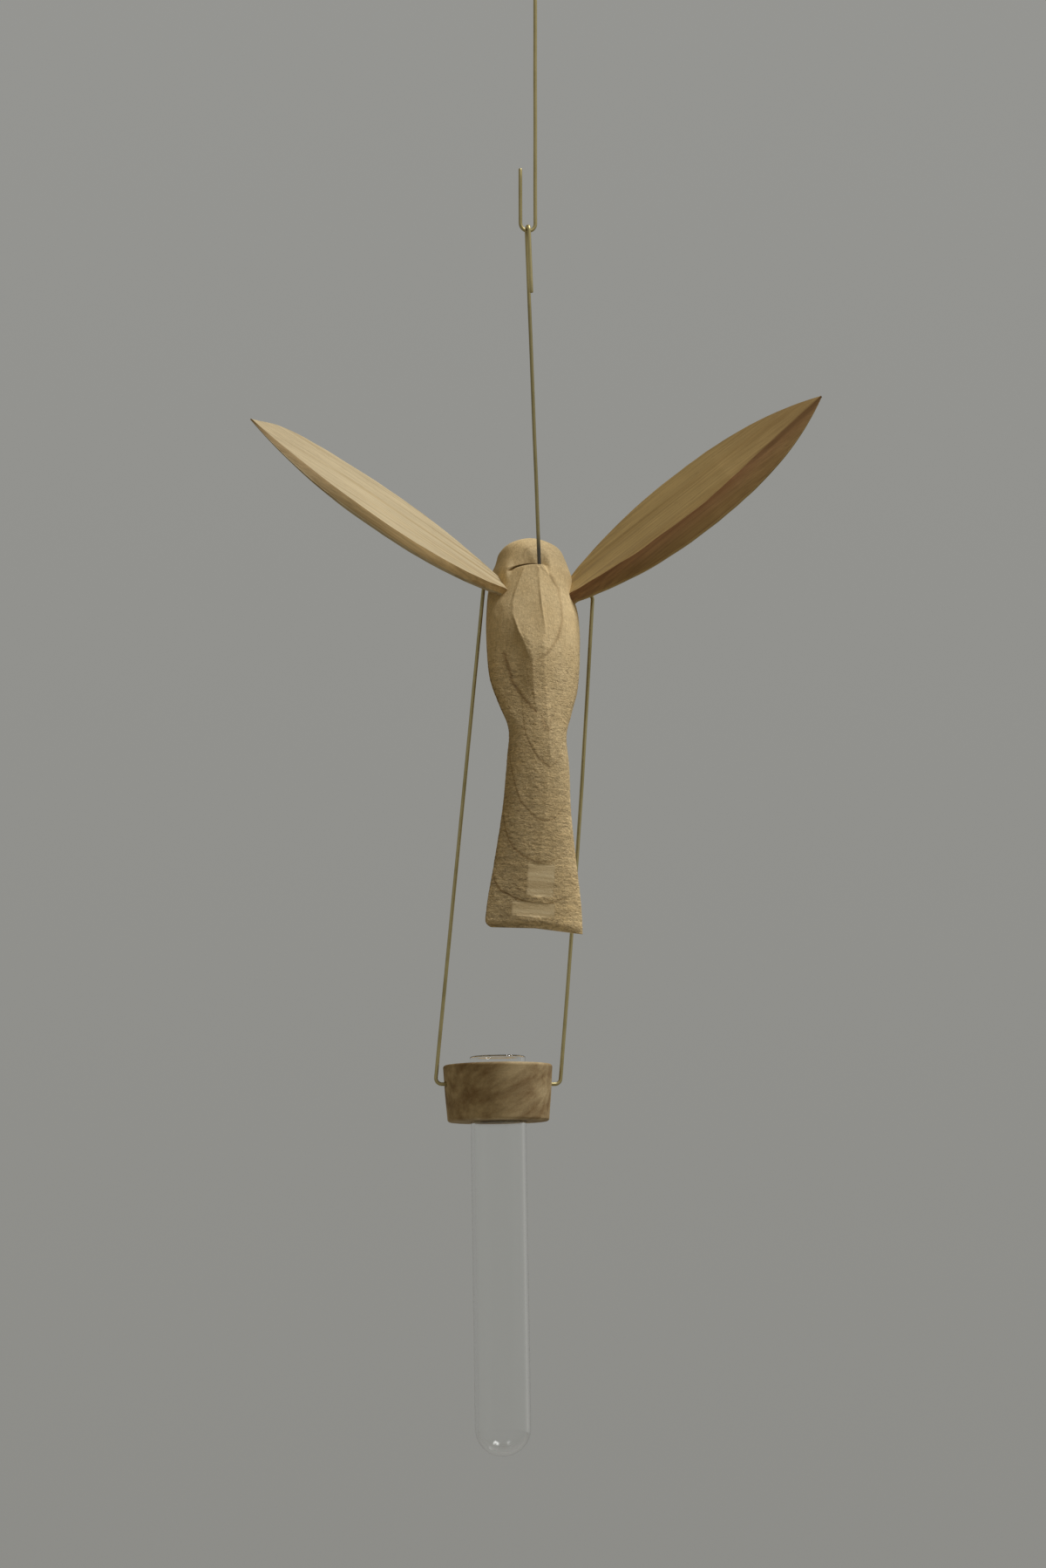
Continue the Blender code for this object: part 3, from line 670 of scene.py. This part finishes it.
def spread(points, gap):
    """Add even steps along each straight run longer than the gap."""
    out = [points[0]]
    for before, after in zip(points, points[1:]):
        steps = max(1, int((after - before).length / gap))
        out += [before.lerp(after, step / steps) for step in range(1, steps + 1)]
    return out


def arc(centre, across, up, radius, start, end, steps=HALF_TURN_STEPS):
    """Points on an arc; angles run from the across direction towards the up direction."""
    angles = [start + (end - start) * step / steps for step in range(steps + 1)]
    return [centre + radius * (math.cos(a) * across + math.sin(a) * up) for a in angles]


def rounded(corners, radius):
    """Run through the corners with each inner one bent to the radius."""
    points = [corners[0]]
    for before, corner, after in zip(corners, corners[1:], corners[2:]):
        back, ahead = (before - corner).normalized(), (after - corner).normalized()
        half = back.angle(ahead) / 2
        middle = (back + ahead).normalized()
        swing = math.pi / 2 - half
        points += arc(corner + middle * radius / math.sin(half), (ahead - back).normalized(), -middle, radius,
                      math.pi / 2 + swing, math.pi / 2 - swing, BEND_STEPS)
    return points + [corners[-1]]


def wire(name, route, material, body, seed):
    """Round wire along a route, a little uneven from hand bending, with its ends filed round."""
    path = np.array([tuple(p) for p in spread(route, WIRE_STEP)])
    away = np.minimum(np.linalg.norm(path - path[0], axis=1), np.linalg.norm(path - path[-1], axis=1))
    hold = smooth(*WIRE_TRUE_ENDS, away)[:, None]
    for axis in range(3):
        path[:, axis:axis + 1] += WIRE_WAVER * hold * lattice(path / WIRE_WAVE, seed + axis)[:, None]
    ahead = np.gradient(path, axis=0)
    ahead /= np.linalg.norm(ahead, axis=1)[:, None]
    side = Vector(ahead[0]).orthogonal().normalized()
    turns = np.linspace(0, 2 * math.pi, WIRE_SIDES, endpoint=False)
    ends = {0: WIRE_END, len(path) - 1: [(-shift, share) for shift, share in reversed(WIRE_END)]}
    rows = []
    for spot in range(len(path)):
        forward = Vector(ahead[spot])
        side = (side - side.dot(forward) * forward).normalized()
        other = forward.cross(side)
        for shift, share in ends.get(spot, ((0.0, 1.0),)):
            middle = Vector(path[spot]) + forward * shift * WIRE_R
            ring = [middle + WIRE_R * share * (math.cos(t) * side + math.sin(t) * other) for t in turns]
            rows.append([tuple(p) for p in ring])
    piece = skin(name, np.array(rows) / MM, material)
    dress(piece, body, "brass_wire", name)


def make_wires(material):
    """Hook, hairpin and bail."""
    x, y, z = Vector((1, 0, 0)), Vector((0, 1, 0)), Vector((0, 0, 1))
    route = [HOOK_LOW + Vector((-HOOK_BEND_R, 0, HOOK_LOWER_LEG))]
    route += arc(HOOK_LOW + z * HOOK_BEND_R, x, z, HOOK_BEND_R, math.pi, 2 * math.pi)
    route += arc(z * (WIRE_R - HOOK_BEND_R), x, z, HOOK_BEND_R, 0, math.pi)
    route.append(Vector((-HOOK_BEND_R, 0, WIRE_R - HOOK_UPPER_LEG)))
    wire("ceiling_hook", route, material, "hook", seed=3)

    route = [HOOK_LOW - y * HAIRPIN_R + WIRE_ALONG * RETURN_LEG]
    route += arc(HOOK_LOW, y, z, HAIRPIN_R, math.pi, 0)
    route.append(NAPE + WIRE_ALONG * WIRE_SEAT)
    wire("hanging_wire", route, material, "bird", seed=11)

    feet = [COLLAR @ spot for spot in (-BAIL_TOE, -BAIL_FOOT, BAIL_FOOT, BAIL_TOE)]
    route = spread(rounded(feet[:2] + [BAIL_LEFT, BAIL_RIGHT] + feet[2:], BAIL_BEND_R), WIRE_STEP)
    for point in route:
        share = (BAIL_RIGHT.z - point.z) / (BAIL_RIGHT.z - feet[2].z)
        if point.x > COLLAR.translation.x and 0 < share < 1:
            point.x += BAIL_BOW * math.sin(math.pi * share)
    wire("tube_bail", route, material, "bail", seed=23)


def body_outline():
    """The knife-cut section with straight sides, and the same section rounded off."""
    half = list(HALF_SECTION)
    corners = np.array(half + [(-a, u) for a, u in reversed(half[1:-1])])
    share = (np.arange(AROUND_PER_SIDE) / AROUND_PER_SIDE)[:, None]
    straight, round_off = [], []
    for spot in range(len(corners)):
        a, b = corners[spot - 1], corners[spot]
        c, d = corners[(spot + 1) % len(corners)], corners[(spot + 2) % len(corners)]
        straight.append(b + (c - b) * share)
        round_off.append(b + (c - a) * share / 2 + (2 * a - 5 * b + 4 * c - d) * share ** 2 / 2
                         + (3 * b - a - 3 * c + d) * share ** 3 / 2)
    return np.concatenate(straight), np.concatenate(round_off)


def station_row(stations, spot, t, breaks):
    """Row at share t of the way from a station to the next, on an even curve with a kink at each break."""
    last = len(stations) - 1
    before = spot if spot in (0, *breaks) else spot - 1
    after = spot + 1 if spot + 1 in (last, *breaks) else spot + 2
    four = stations[[before, spot, spot + 1, after]]
    return (four[1] * (2 * t ** 3 - 3 * t ** 2 + 1) + (four[2] - four[0]) / 2 * (t ** 3 - 2 * t ** 2 + t)
            + four[2] * (3 * t ** 2 - 2 * t ** 3) + (four[3] - four[1]) / 2 * (t ** 3 - t ** 2))


def section_ring(row, outline, full):
    """Points round the body at one row of the stations."""
    back, breast = np.array((0, *row[:2])), np.array((0, *row[2:4]))
    half_width, lean = row[4:]
    centre, depth = (back + breast) / 2, np.linalg.norm(back - breast)
    up = (back - breast) / depth
    rise = outline[:, 1] + full * 4 * np.maximum(0, outline[:, 1]) * (1 - outline[:, 1])
    ring = centre + up * depth / 2 * rise[:, None]
    drift = RIDGE_DRIFT * math.exp(-((centre[2] - RIDGE_DRIFT_AT) / RIDGE_DRIFT_REACH) ** 2)
    ring[:, 0] += lean + outline[:, 0] * half_width + drift * np.maximum(0, rise) ** 2
    ring[:, 2] -= TAIL_DIP * max(0.0, 1 - (centre[2] - TAIL_END) / TAIL_DIP_REACH) * outline[:, 0] ** 2
    return ring


def head_shift(x, beyond):
    """Sideways shift of the head's points: its right slopes in, its left is tucked in, its crown leans left."""
    fade = 1 - smooth(*HEAD_FADE_OVER, beyond)
    slope = HEAD_SLOPE * smooth(*HEAD_SLOPE_OVER, beyond) * np.maximum(0, x)
    tuck = HEAD_TUCK * smooth(*HEAD_TUCK_OVER, beyond) * np.maximum(0, -x)
    return fade * (tuck - slope - HEAD_LEAN * smooth(*HEAD_LEAN_OVER, beyond))


def body_grid():
    """Fine grid of the body before the knife, and how many stations past the nape each ring lies."""
    straight, round_off = body_outline()
    crisp = RIDGE_CRISP * np.exp(-(round_off / RIDGE_WIDTH)[:, :1] ** 2) * (round_off[:, 1:] > 0)
    behind = smooth(*NAPE_ARCH_BEHIND, round_off[:, 1])

    def outline(share):
        return straight + (round_off - straight) * (1 - crisp * share)

    healed = STATIONS.copy()
    healed[NAPE_BACK, :2], healed[NAPE_HEAD, :2] = HEALED_BACK, HEALED_HEAD
    last = len(STATIONS) - 1
    rings, past = [], []
    for spot in range(last):
        length = float(np.linalg.norm(STATIONS[spot + 1, :2] - STATIONS[spot, :2]))
        steps = max(RINGS_LEAST, round(length / RING_GAP))
        for share in np.arange(steps + (spot == last - 1)) / steps:
            beyond = spot + share - NAPE_HEAD
            full = NAPE_FULLNESS * max(0.0, 1 - max(0.0, beyond) / NAPE_FULL_STATIONS)
            row = station_row(STATIONS, spot, share, (NAPE_BACK, NAPE_HEAD))
            ring = section_ring(row, outline(beyond < 0), full * (beyond >= 0))
            row = station_row(healed, spot, share, ())
            kept = 1 - smooth(*HEALED_ROUND_OVER, beyond)
            even = section_ring(row, outline(kept), full * smooth(*HEALED_FULL_OVER, beyond))
            x = ring[:, 0]
            heal = np.maximum(smooth(*HEALED_RIGHT, x), 1 - smooth(*HEALED_LEFT, x))
            ring = ring + (even - ring) * heal[:, None]
            ring[:, 2] -= NAPE_ARCH * ring[:, 0] ** 2 * window(NAPE_ARCH_OVER, beyond) * behind
            ring[:, 0] += head_shift(ring[:, 0], beyond)
            rings.append(ring)
            past.append(beyond)
    return np.array(rings), np.array(past)


def outward(grid):
    """Unit normals of a closed-round grid."""
    along = np.gradient(grid, axis=0)
    around = np.roll(grid, -1, axis=1) - np.roll(grid, 1, axis=1)
    normal = np.cross(around, along)
    normal /= np.maximum(np.linalg.norm(normal, axis=2), TINY)[..., None]
    middle = grid.mean(axis=1, keepdims=True)
    return normal * np.sign(((grid - middle) * normal).sum(axis=(1, 2), keepdims=True))


def from_line(points, line):
    """Distance of each point from a broken line, both (x, z)."""
    nearest = np.full(points.shape[:-1], np.inf)
    for a, b in zip(np.array(line), np.array(line[1:])):
        share = np.clip(((points - a) @ (b - a)) / ((b - a) @ (b - a)), 0, 1)
        nearest = np.minimum(nearest, np.linalg.norm(points - a - share[..., None] * (b - a), axis=-1))
    return nearest


def within(points, outline):
    """Distance inside a closed outline, 0 outside it, both (x, z)."""
    ends = list(outline[1:]) + [outline[0]]
    odd = np.zeros(points.shape[:-1], dtype=bool)
    for (ax, az), (bx, bz) in zip(outline, ends):
        crosses = (points[..., 1] < az) != (points[..., 1] < bz)
        odd ^= crosses & (points[..., 0] < ax + (points[..., 1] - az) / (bz - az + TINY) * (bx - ax))
    return odd * from_line(points, tuple(outline) + (outline[0],))


def pare(grid, depth, out):
    """Take a depth of wood off at each point, against the way out."""
    return grid - depth[..., None] * out


def cut_flats(grid, behind):
    """The knife flats on the upper back and the long flat on the left flank."""
    flat, z = grid[..., ::2], grid[..., 2]
    for point, out, outline in FLATS:
        out = unit(out)
        cut = smooth(0.0, FLAT_EASE, within(flat, outline)) * behind
        grid = pare(grid, np.clip((grid - point) @ out, FLAT_FILL, FLAT_DEEPEST) * cut, out)
    out = unit(FLANK_OUT)
    above = (grid - FLANK_POINT) @ out
    soft = FLANK_CRISP + FLANK_SOFT * (1 - smooth(*FLANK_SOFT_LEFT, grid[..., 0]))
    over = (above + np.sqrt(above ** 2 + soft ** 2)) / 2 * window(FLANK_Z, z)
    over = np.minimum(over, FLANK_DEEPEST) * smooth(0.0, FLAT_EASE, within(flat, FLANK_EDGE)) * behind
    return pare(grid, over * (1 - smooth(*FLANK_NEAR, np.abs(above) - over)), out)


def small_cuts(grid):
    """Many shallow cuts all over the body below the shoulders."""
    rows, around = grid.shape[:2]
    normal = outward(grid)
    start, stretch = CUT_ROWS
    for cut in range(CUTS):
        row = int((start + stretch * ((cut * CUT_ALONG) % 1)) * rows)
        spot = int(((cut * CUT_AROUND + CUT_AROUND_FROM) % 1) * around)
        out = normal[row, spot]
        off = grid - grid[row, spot]
        over = np.maximum(0, off @ out + CUT_DEPTH + CUT_DEPTH_MORE * ((cut * CUT_DEPTH_TURN) % 1))
        grid = pare(grid, over * (1 - smooth(*CUT_REACH, np.linalg.norm(off, axis=2))), out)
    return grid


def chisel(grid, behind):
    """Pare the patches on the tail to planes; also returns where they lie."""
    grid = grid.copy()
    planed = np.zeros(grid.shape[:2])
    for stretches in CHISELLED:
        inside = 1.0 * behind
        for axis, (low, high) in zip((0, 2), stretches):
            edges = ((low, low + CHISEL_EASE), (high - CHISEL_EASE, high))
            inside = inside * window(edges, grid[..., axis])
        known = np.stack([grid[..., 0], grid[..., 2], np.ones(grid.shape[:2])], axis=-1)
        core = inside > 0.5
        slope = np.linalg.lstsq(known[core], grid[core, 1], rcond=None)[0]
        grid[..., 1] += (known @ slope + CHISEL_DEPTH - grid[..., 1]) * inside
        planed = np.maximum(planed, inside)
    return grid, planed


def torn_grain(grid, rough):
    """Heights of the torn grain and of the steps where growth layers end."""
    wave = np.stack([lattice(grid * TEAR_WAVE_CELLS, seed) for seed in TEAR_WAVE_SEEDS], axis=-1)
    torn = grid @ TEAR_TURN + TEAR_WAVE * wave
    marks = sum(depth * lattice(torn * cells, seed) for depth, cells, seed in TEARS)
    marks = marks * (TEAR_LEAST + (1 - TEAR_LEAST) * rough)
    layer = grid[..., 2] - LAYER_DIP * grid[..., 1]
    wave = LAYER_WAVE * lattice(grid * LAYER_WAVE_CELLS, LAYER_WAVE_SEED)
    for ring in LAYERS:
        below = ring - layer + wave
        step = LAYER_STEP * np.exp(-np.maximum(0, below) / LAYER_STEP_LENGTH) * (below > 0)
        marks = marks - step * (LAYER_STEP_LEAST + (1 - LAYER_STEP_LEAST) * rough)
    from_tail = np.arange(len(grid))
    end = np.minimum(1, from_tail / TEAR_TAIL_ROWS) * np.minimum(1, from_tail[::-1] / TEAR_BEAK_ROWS)
    return marks * end[:, None]


def whittle(grid, past_nape):
    """Cut flats and tool marks into the body; also returns the pared patches, nape shade and growth lines."""
    flat = grid[..., ::2]
    behind = outward(grid)[..., 1] < FACES_BACK
    grid, planed = chisel(small_cuts(cut_flats(grid, behind)), behind)
    # Where the painted shadow under the nape step lies.
    crease_shadow = ((past_nape > CREASE_FROM) * (1 - smooth(*CREASE_END_OVER, past_nape)))[:, None] * behind
    crease_shadow = crease_shadow * window(CREASE_X, grid[..., 0])
    lines = np.zeros(planed.shape)
    for strength, line in OPEN_RINGS:
        near = np.exp(-(from_line(flat, line) / OPEN_RING_WIDTH) ** 2)
        lines = np.maximum(lines, strength * near * behind)
    rough = smooth(*TEAR_Z, flat[..., 1]) * (1 - planed)
    grid = grid + outward(grid) * torn_grain(grid, rough)[..., None]
    return ease_tail(grid), {"planed": planed, "crease_shadow": crease_shadow, "lines": lines}


def ease_tail(grid):
    """Chamfer the tail's end behind and round its left corner."""
    middle = grid.mean(axis=1, keepdims=True)
    near = np.maximum(0, 1 - np.arange(len(grid)) * RING_GAP / TAIL_EASE)[:, None] ** 2
    grid = grid.copy()
    grid[..., 1] += TAIL_CHAMFER * near * np.maximum(0, (middle - grid)[..., 1] / TAIL_HALF)
    grid[..., 0] *= np.where(grid[..., 0] < 0, 1 - TAIL_CORNER * near, 1.0)
    return grid


def make_body(material):
    """The whittled body with its bore and the hole for the hanging wire."""
    grid, masks = whittle(*body_grid())
    middle = grid[0].mean(axis=0)
    rims = [middle + (grid[0] - middle) * share + np.array((0, 0, drop)) for share, drop in TAIL_RIMS]
    body = skin("bird_body", np.concatenate([np.array(rims), grid]), material, BIRD)
    for name, values in masks.items():
        on_rims = np.zeros(len(rims) * values.shape[1])
        mark_points(body, name, np.concatenate([on_rims, values.ravel(), (0.0, 0.0)]))
    drill(body, BIRD @ -BORE_HALF, BIRD @ BORE_HALF)
    drill(body, NAPE - WIRE_ALONG * WIRE_SEAT, NAPE + WIRE_ALONG * (WIRE_SEAT + HOLE_SPARE), NAPE_HOLE_R)
    dress(body, "bird", "body_wood", "bird_body")


def wing_place(wing):
    """Right-handed frame: X along the wing, Y to its leading edge, Z out of the upper face of the right one."""
    along = Vector((wing.side * math.cos(wing.rise) * math.cos(WING_SWEEP), -math.sin(WING_SWEEP),
                    math.sin(wing.rise) * math.cos(WING_SWEEP)))
    ahead = Vector((0, 1, 0))
    ahead = (ahead - ahead.dot(along) * along).normalized()
    out = along.cross(ahead) * wing.side
    chord = ahead * math.cos(wing.pitch) + out * math.sin(wing.pitch)
    turn = Matrix((along, chord, along.cross(chord))).transposed().to_4x4()
    root = Vector((wing.side * WING_ROOT.x, WING_ROOT.y, WING_ROOT.z))
    return BIRD @ Matrix.Translation(root) @ turn


def wing_section(wing, along):
    """Points round a wing at one place along it, and how far those on its upper side lie before the ridge."""
    part = max(0.0, along) / WING_LENGTH
    reach = (part - WING_WIDEST) / (1 - WING_WIDEST)
    full = WING_TIP_FULLNESS if reach > 0 else WING_ROOT_FULLNESS
    chord = max(WING_CHORD * (1 - abs(reach) ** full), 2 * WING_EDGE)
    slim = WING_TIP_SLIM + (1 - WING_TIP_SLIM) * min(1.0, (1 - part) / (1 - WING_THINS_FROM))
    slow, quick = lattice(np.array([(along / wave, wing.seed, row) for wave, row in WING_WAVES]), wing.seed)
    tail_waver, front_waver, ridge_waver = WING_WAVER
    front = WING_AHEAD * chord + front_waver * quick * slim
    tail = front - chord + tail_waver * slow * slim
    front += wing.tip_full * window(WING_TIP_FULL_AT, part)
    bevel = wing.bevels[0] + (wing.bevels[1] - wing.bevels[0]) * smooth(*WING_BEVEL_WIDENS, part)
    ridge = tail + bevel * chord + ridge_waver * slow * slim
    edge = WING_EDGE * slim
    corners = ((front, edge), (ridge, edge + wing.ridge * slim), (tail, edge), (tail, -edge),
               ((front + tail) / 2, -edge - WING_BELLY * slim), (front, -edge))
    swells = (WING_FACE_SWELL, WING_HOLLOW * (tail - ridge), 0.0, WING_BELLY_SWELL, WING_BELLY_SWELL, 0.0)
    row, from_ridge = [], []
    for spot, (count, swell) in enumerate(zip(WING_POINTS, swells)):
        a, b = np.array(corners[spot]), np.array(corners[(spot + 1) % len(corners)])
        across = np.array((b[1] - a[1], a[0] - b[0]))
        across = -across / max(np.linalg.norm(across), TINY)
        for t in np.arange(count) / count:
            lift = swell * slim * math.sin(math.pi * t) * min(1.0, chord / WING_SWELL_CHORD)
            row.append((along, *(a + (b - a) * t + across * lift)))
            from_ridge.append((a + (b - a) * t)[0] - ridge if spot < WING_UPPER_SIDES else NO_RIDGE)
    return row, from_ridge


def make_wing(name, wing):
    """A planed leaf with a knife-cut bevel along its trailing edge."""
    rows, from_ridge = [], []
    tip = WING_LENGTH - WING_TIP_CUT * WING_EDGE
    for step in range(WING_SECTIONS + 1):
        share = 1 - (1 - step / WING_SECTIONS) ** WING_CROWDED
        row, distances = wing_section(wing, -WING_INSET + (tip + WING_INSET) * share)
        rows.append(row)
        from_ridge += distances
    grid = np.array(rows)
    x, y, z = grid[..., 0], grid[..., 1], grid[..., 2]
    chop = np.stack([x / CHOP_LENGTH, y / CHOP_WIDTH, np.full(x.shape, wing.seed + 0.5)], axis=-1)
    inside = np.minimum(1.0, (WING_LENGTH - x) / CHOP_FADE)
    grid[..., 2] += CHOP_DEPTH * lattice(chop, wing.seed) * inside * np.sign(z)
    grid[..., 2] *= wing.side
    place = wing_place(wing)
    piece = skin(name, grid, wing_wood(name + "_wood", place, wing), place)
    piece.data.set_sharp_from_angle(angle=WING_SHARP)
    mark_points(piece, "from_ridge", from_ridge + [NO_RIDGE, NO_RIDGE])
    dress(piece, "bird", "wing_wood", name)


def lathe(name, profile, around, material, place, closed):
    """Object from a profile of (radius, height) turned about Z."""
    turns = np.linspace(0, 2 * math.pi, around, endpoint=False)
    points = [(r * math.cos(t), r * math.sin(t), h) for r, h in profile for t in turns]
    return object_from(name, points, quads(len(profile), around, closed), material, place, SAME_POINT)


def quarter(centre, radius, start, end, steps=6):
    """Profile points on an arc about a centre, angles in degrees."""
    angles = [math.radians(start + (end - start) * k / steps) for k in range(steps + 1)]
    return [(centre[0] + radius * math.cos(a), centre[1] + radius * math.sin(a)) for a in angles]


def make_collar(material):
    """Turned ring with eased edges and fine tool lines, drilled for the bail's feet."""
    ease, bore_ease, bore = COLLAR_EASE, COLLAR_BORE_EASE, COLLAR_BORE_R + COLLAR_BORE_EASE
    profile = quarter((COLLAR_TOP_R - ease, COLLAR_TOP - ease), ease, 90, 0)
    for step in range(1, COLLAR_STEPS):
        share = step / COLLAR_STEPS
        height = COLLAR_TOP - ease + (COLLAR_BOTTOM - COLLAR_TOP + 2 * ease) * share
        swell = COLLAR_SWELL * math.sin(math.pi * share) ** 2 + TOOL_LINE * math.sin(TOOL_LINE_TURNS * height)
        profile.append((COLLAR_TOP_R + (COLLAR_BOTTOM_R - COLLAR_TOP_R) * share + swell, height))
    profile += quarter((COLLAR_BOTTOM_R - ease, COLLAR_BOTTOM + ease), ease, 0, -90)
    profile += quarter((bore, COLLAR_BOTTOM + bore_ease), bore_ease, 270, 180)
    profile += quarter((bore, COLLAR_TOP - bore_ease), bore_ease, 180, 90)
    collar = lathe("tube_collar", profile, COLLAR_SIDES, material, COLLAR, True)
    for side in (-1, 1):
        drill(collar, COLLAR @ (side * (BAIL_TOE - Vector((HOLE_SPARE, 0, 0)))), COLLAR @ (side * BAIL_FOOT))
    dress(collar, "collar", "collar_wood", "tube_collar")


def make_tube(material):
    """Round-bottomed tube with a fire-polished rim."""
    inner, half = TUBE_R - TUBE_WALL, TUBE_WALL / 2
    low = (0.0, TUBE_R - TUBE_LENGTH)
    supports = (low[1] + TUBE_SUPPORT, -half - TUBE_SUPPORT)
    profile = quarter(low, inner, -90, 0, TUBE_BOTTOM_STEPS)
    profile += [(inner, height) for height in supports]
    profile += quarter((TUBE_R - half, -half), half, 180, 0, TUBE_RIM_STEPS)
    profile += [(TUBE_R, height) for height in reversed(supports)]
    profile += quarter(low, TUBE_R, 0, -90, TUBE_BOTTOM_STEPS)
    profile[0], profile[-1] = (0.0, profile[0][1]), (0.0, profile[-1][1])
    place = COLLAR @ Matrix.Translation((0, 0, TUBE_TOP * MM))
    tube = lathe("glass_tube", profile, TUBE_SIDES, material, place, False)
    dress(tube, "tube", "tube_glass", "glass_tube")


def make_world():
    """Warm ambient light, and a plain backdrop for all that is seen, in metal and through glass too."""
    world = bpy.data.worlds.new("studio")
    bpy.context.scene.world = world
    world.use_nodes = True
    w = Nodes(world.node_tree)
    ambient = w.tree.nodes["Background"]
    w.put(ambient.inputs["Color"], (*AMBIENT_COLOR, 1.0))
    w.put(ambient.inputs["Strength"], AMBIENT_LIGHT)
    axes = w.axes(w.add("ShaderNodeTexCoord").outputs["Generated"])
    room = w.span(axes["Y"], *ROOM_Y, 1.0, ROOM_LIGHT, "SMOOTHSTEP")
    pane = w.span(axes["X"], *WINDOW_X, 0.0, WINDOW_LIGHT, "SMOOTHSTEP")
    backdrop = w.add("ShaderNodeBackground", {
        "Color": w.ramp(w.span(axes["Z"], -1.0, 1.0), BACKDROP), "Strength": w.math("ADD", room, pane)})
    w.output("World Output", w.seen(), ambient, backdrop)


def make_stage():
    """Floor, world, lamp and camera."""
    bpy.context.scene.view_settings.view_transform = "Standard"
    mesh = bpy.data.meshes.new("floor")
    corners = [(x * FLOOR_HALF, y * FLOOR_HALF, FLOOR_Z) for x, y in ((-1, -1), (1, -1), (1, 1), (-1, 1))]
    mesh.from_pydata(corners, [], [(0, 1, 2, 3)])
    mesh.materials.append(floor_paper())
    floor = link("floor", mesh)

    make_world()
    lamp = bpy.data.lights.new("key", "AREA")
    lamp.size = KEY_SIZE
    lamp.energy = KEY_ENERGY
    key = link("key", lamp)
    key.location = KEY_AT + KEY_FROM.normalized() * KEY_DISTANCE
    key.rotation_euler = (KEY_AT - key.location).to_track_quat("-Z", "Y").to_euler()

    lens = bpy.data.cameras.new("camera")
    lens.lens = CAMERA_LENS
    lens.sensor_fit = "VERTICAL"
    lens.sensor_height = CAMERA_SENSOR
    camera = link("camera", lens)
    camera.location = CAMERA_PLACE
    level = math.cos(CAMERA_PITCH)
    look = Vector((math.sin(CAMERA_YAW) * level, math.cos(CAMERA_YAW) * level, math.sin(CAMERA_PITCH)))
    camera.rotation_euler = look.to_track_quat("-Z", "Y").to_euler()
    bpy.context.scene.camera = camera


def main():
    """Dress every piece and set the stage."""
    metal = brass()
    make_wires(metal)
    make_body(body_wood())
    for name, wing in WINGS.items():
        make_wing(name, wing)
    for name in ("left_wing_pin", "right_wing_pin"):
        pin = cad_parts[name]
        pin.data.materials.clear()
        pin.data.materials.append(metal)
    make_collar(collar_wood())
    make_tube(glass())
    make_stage()


main()
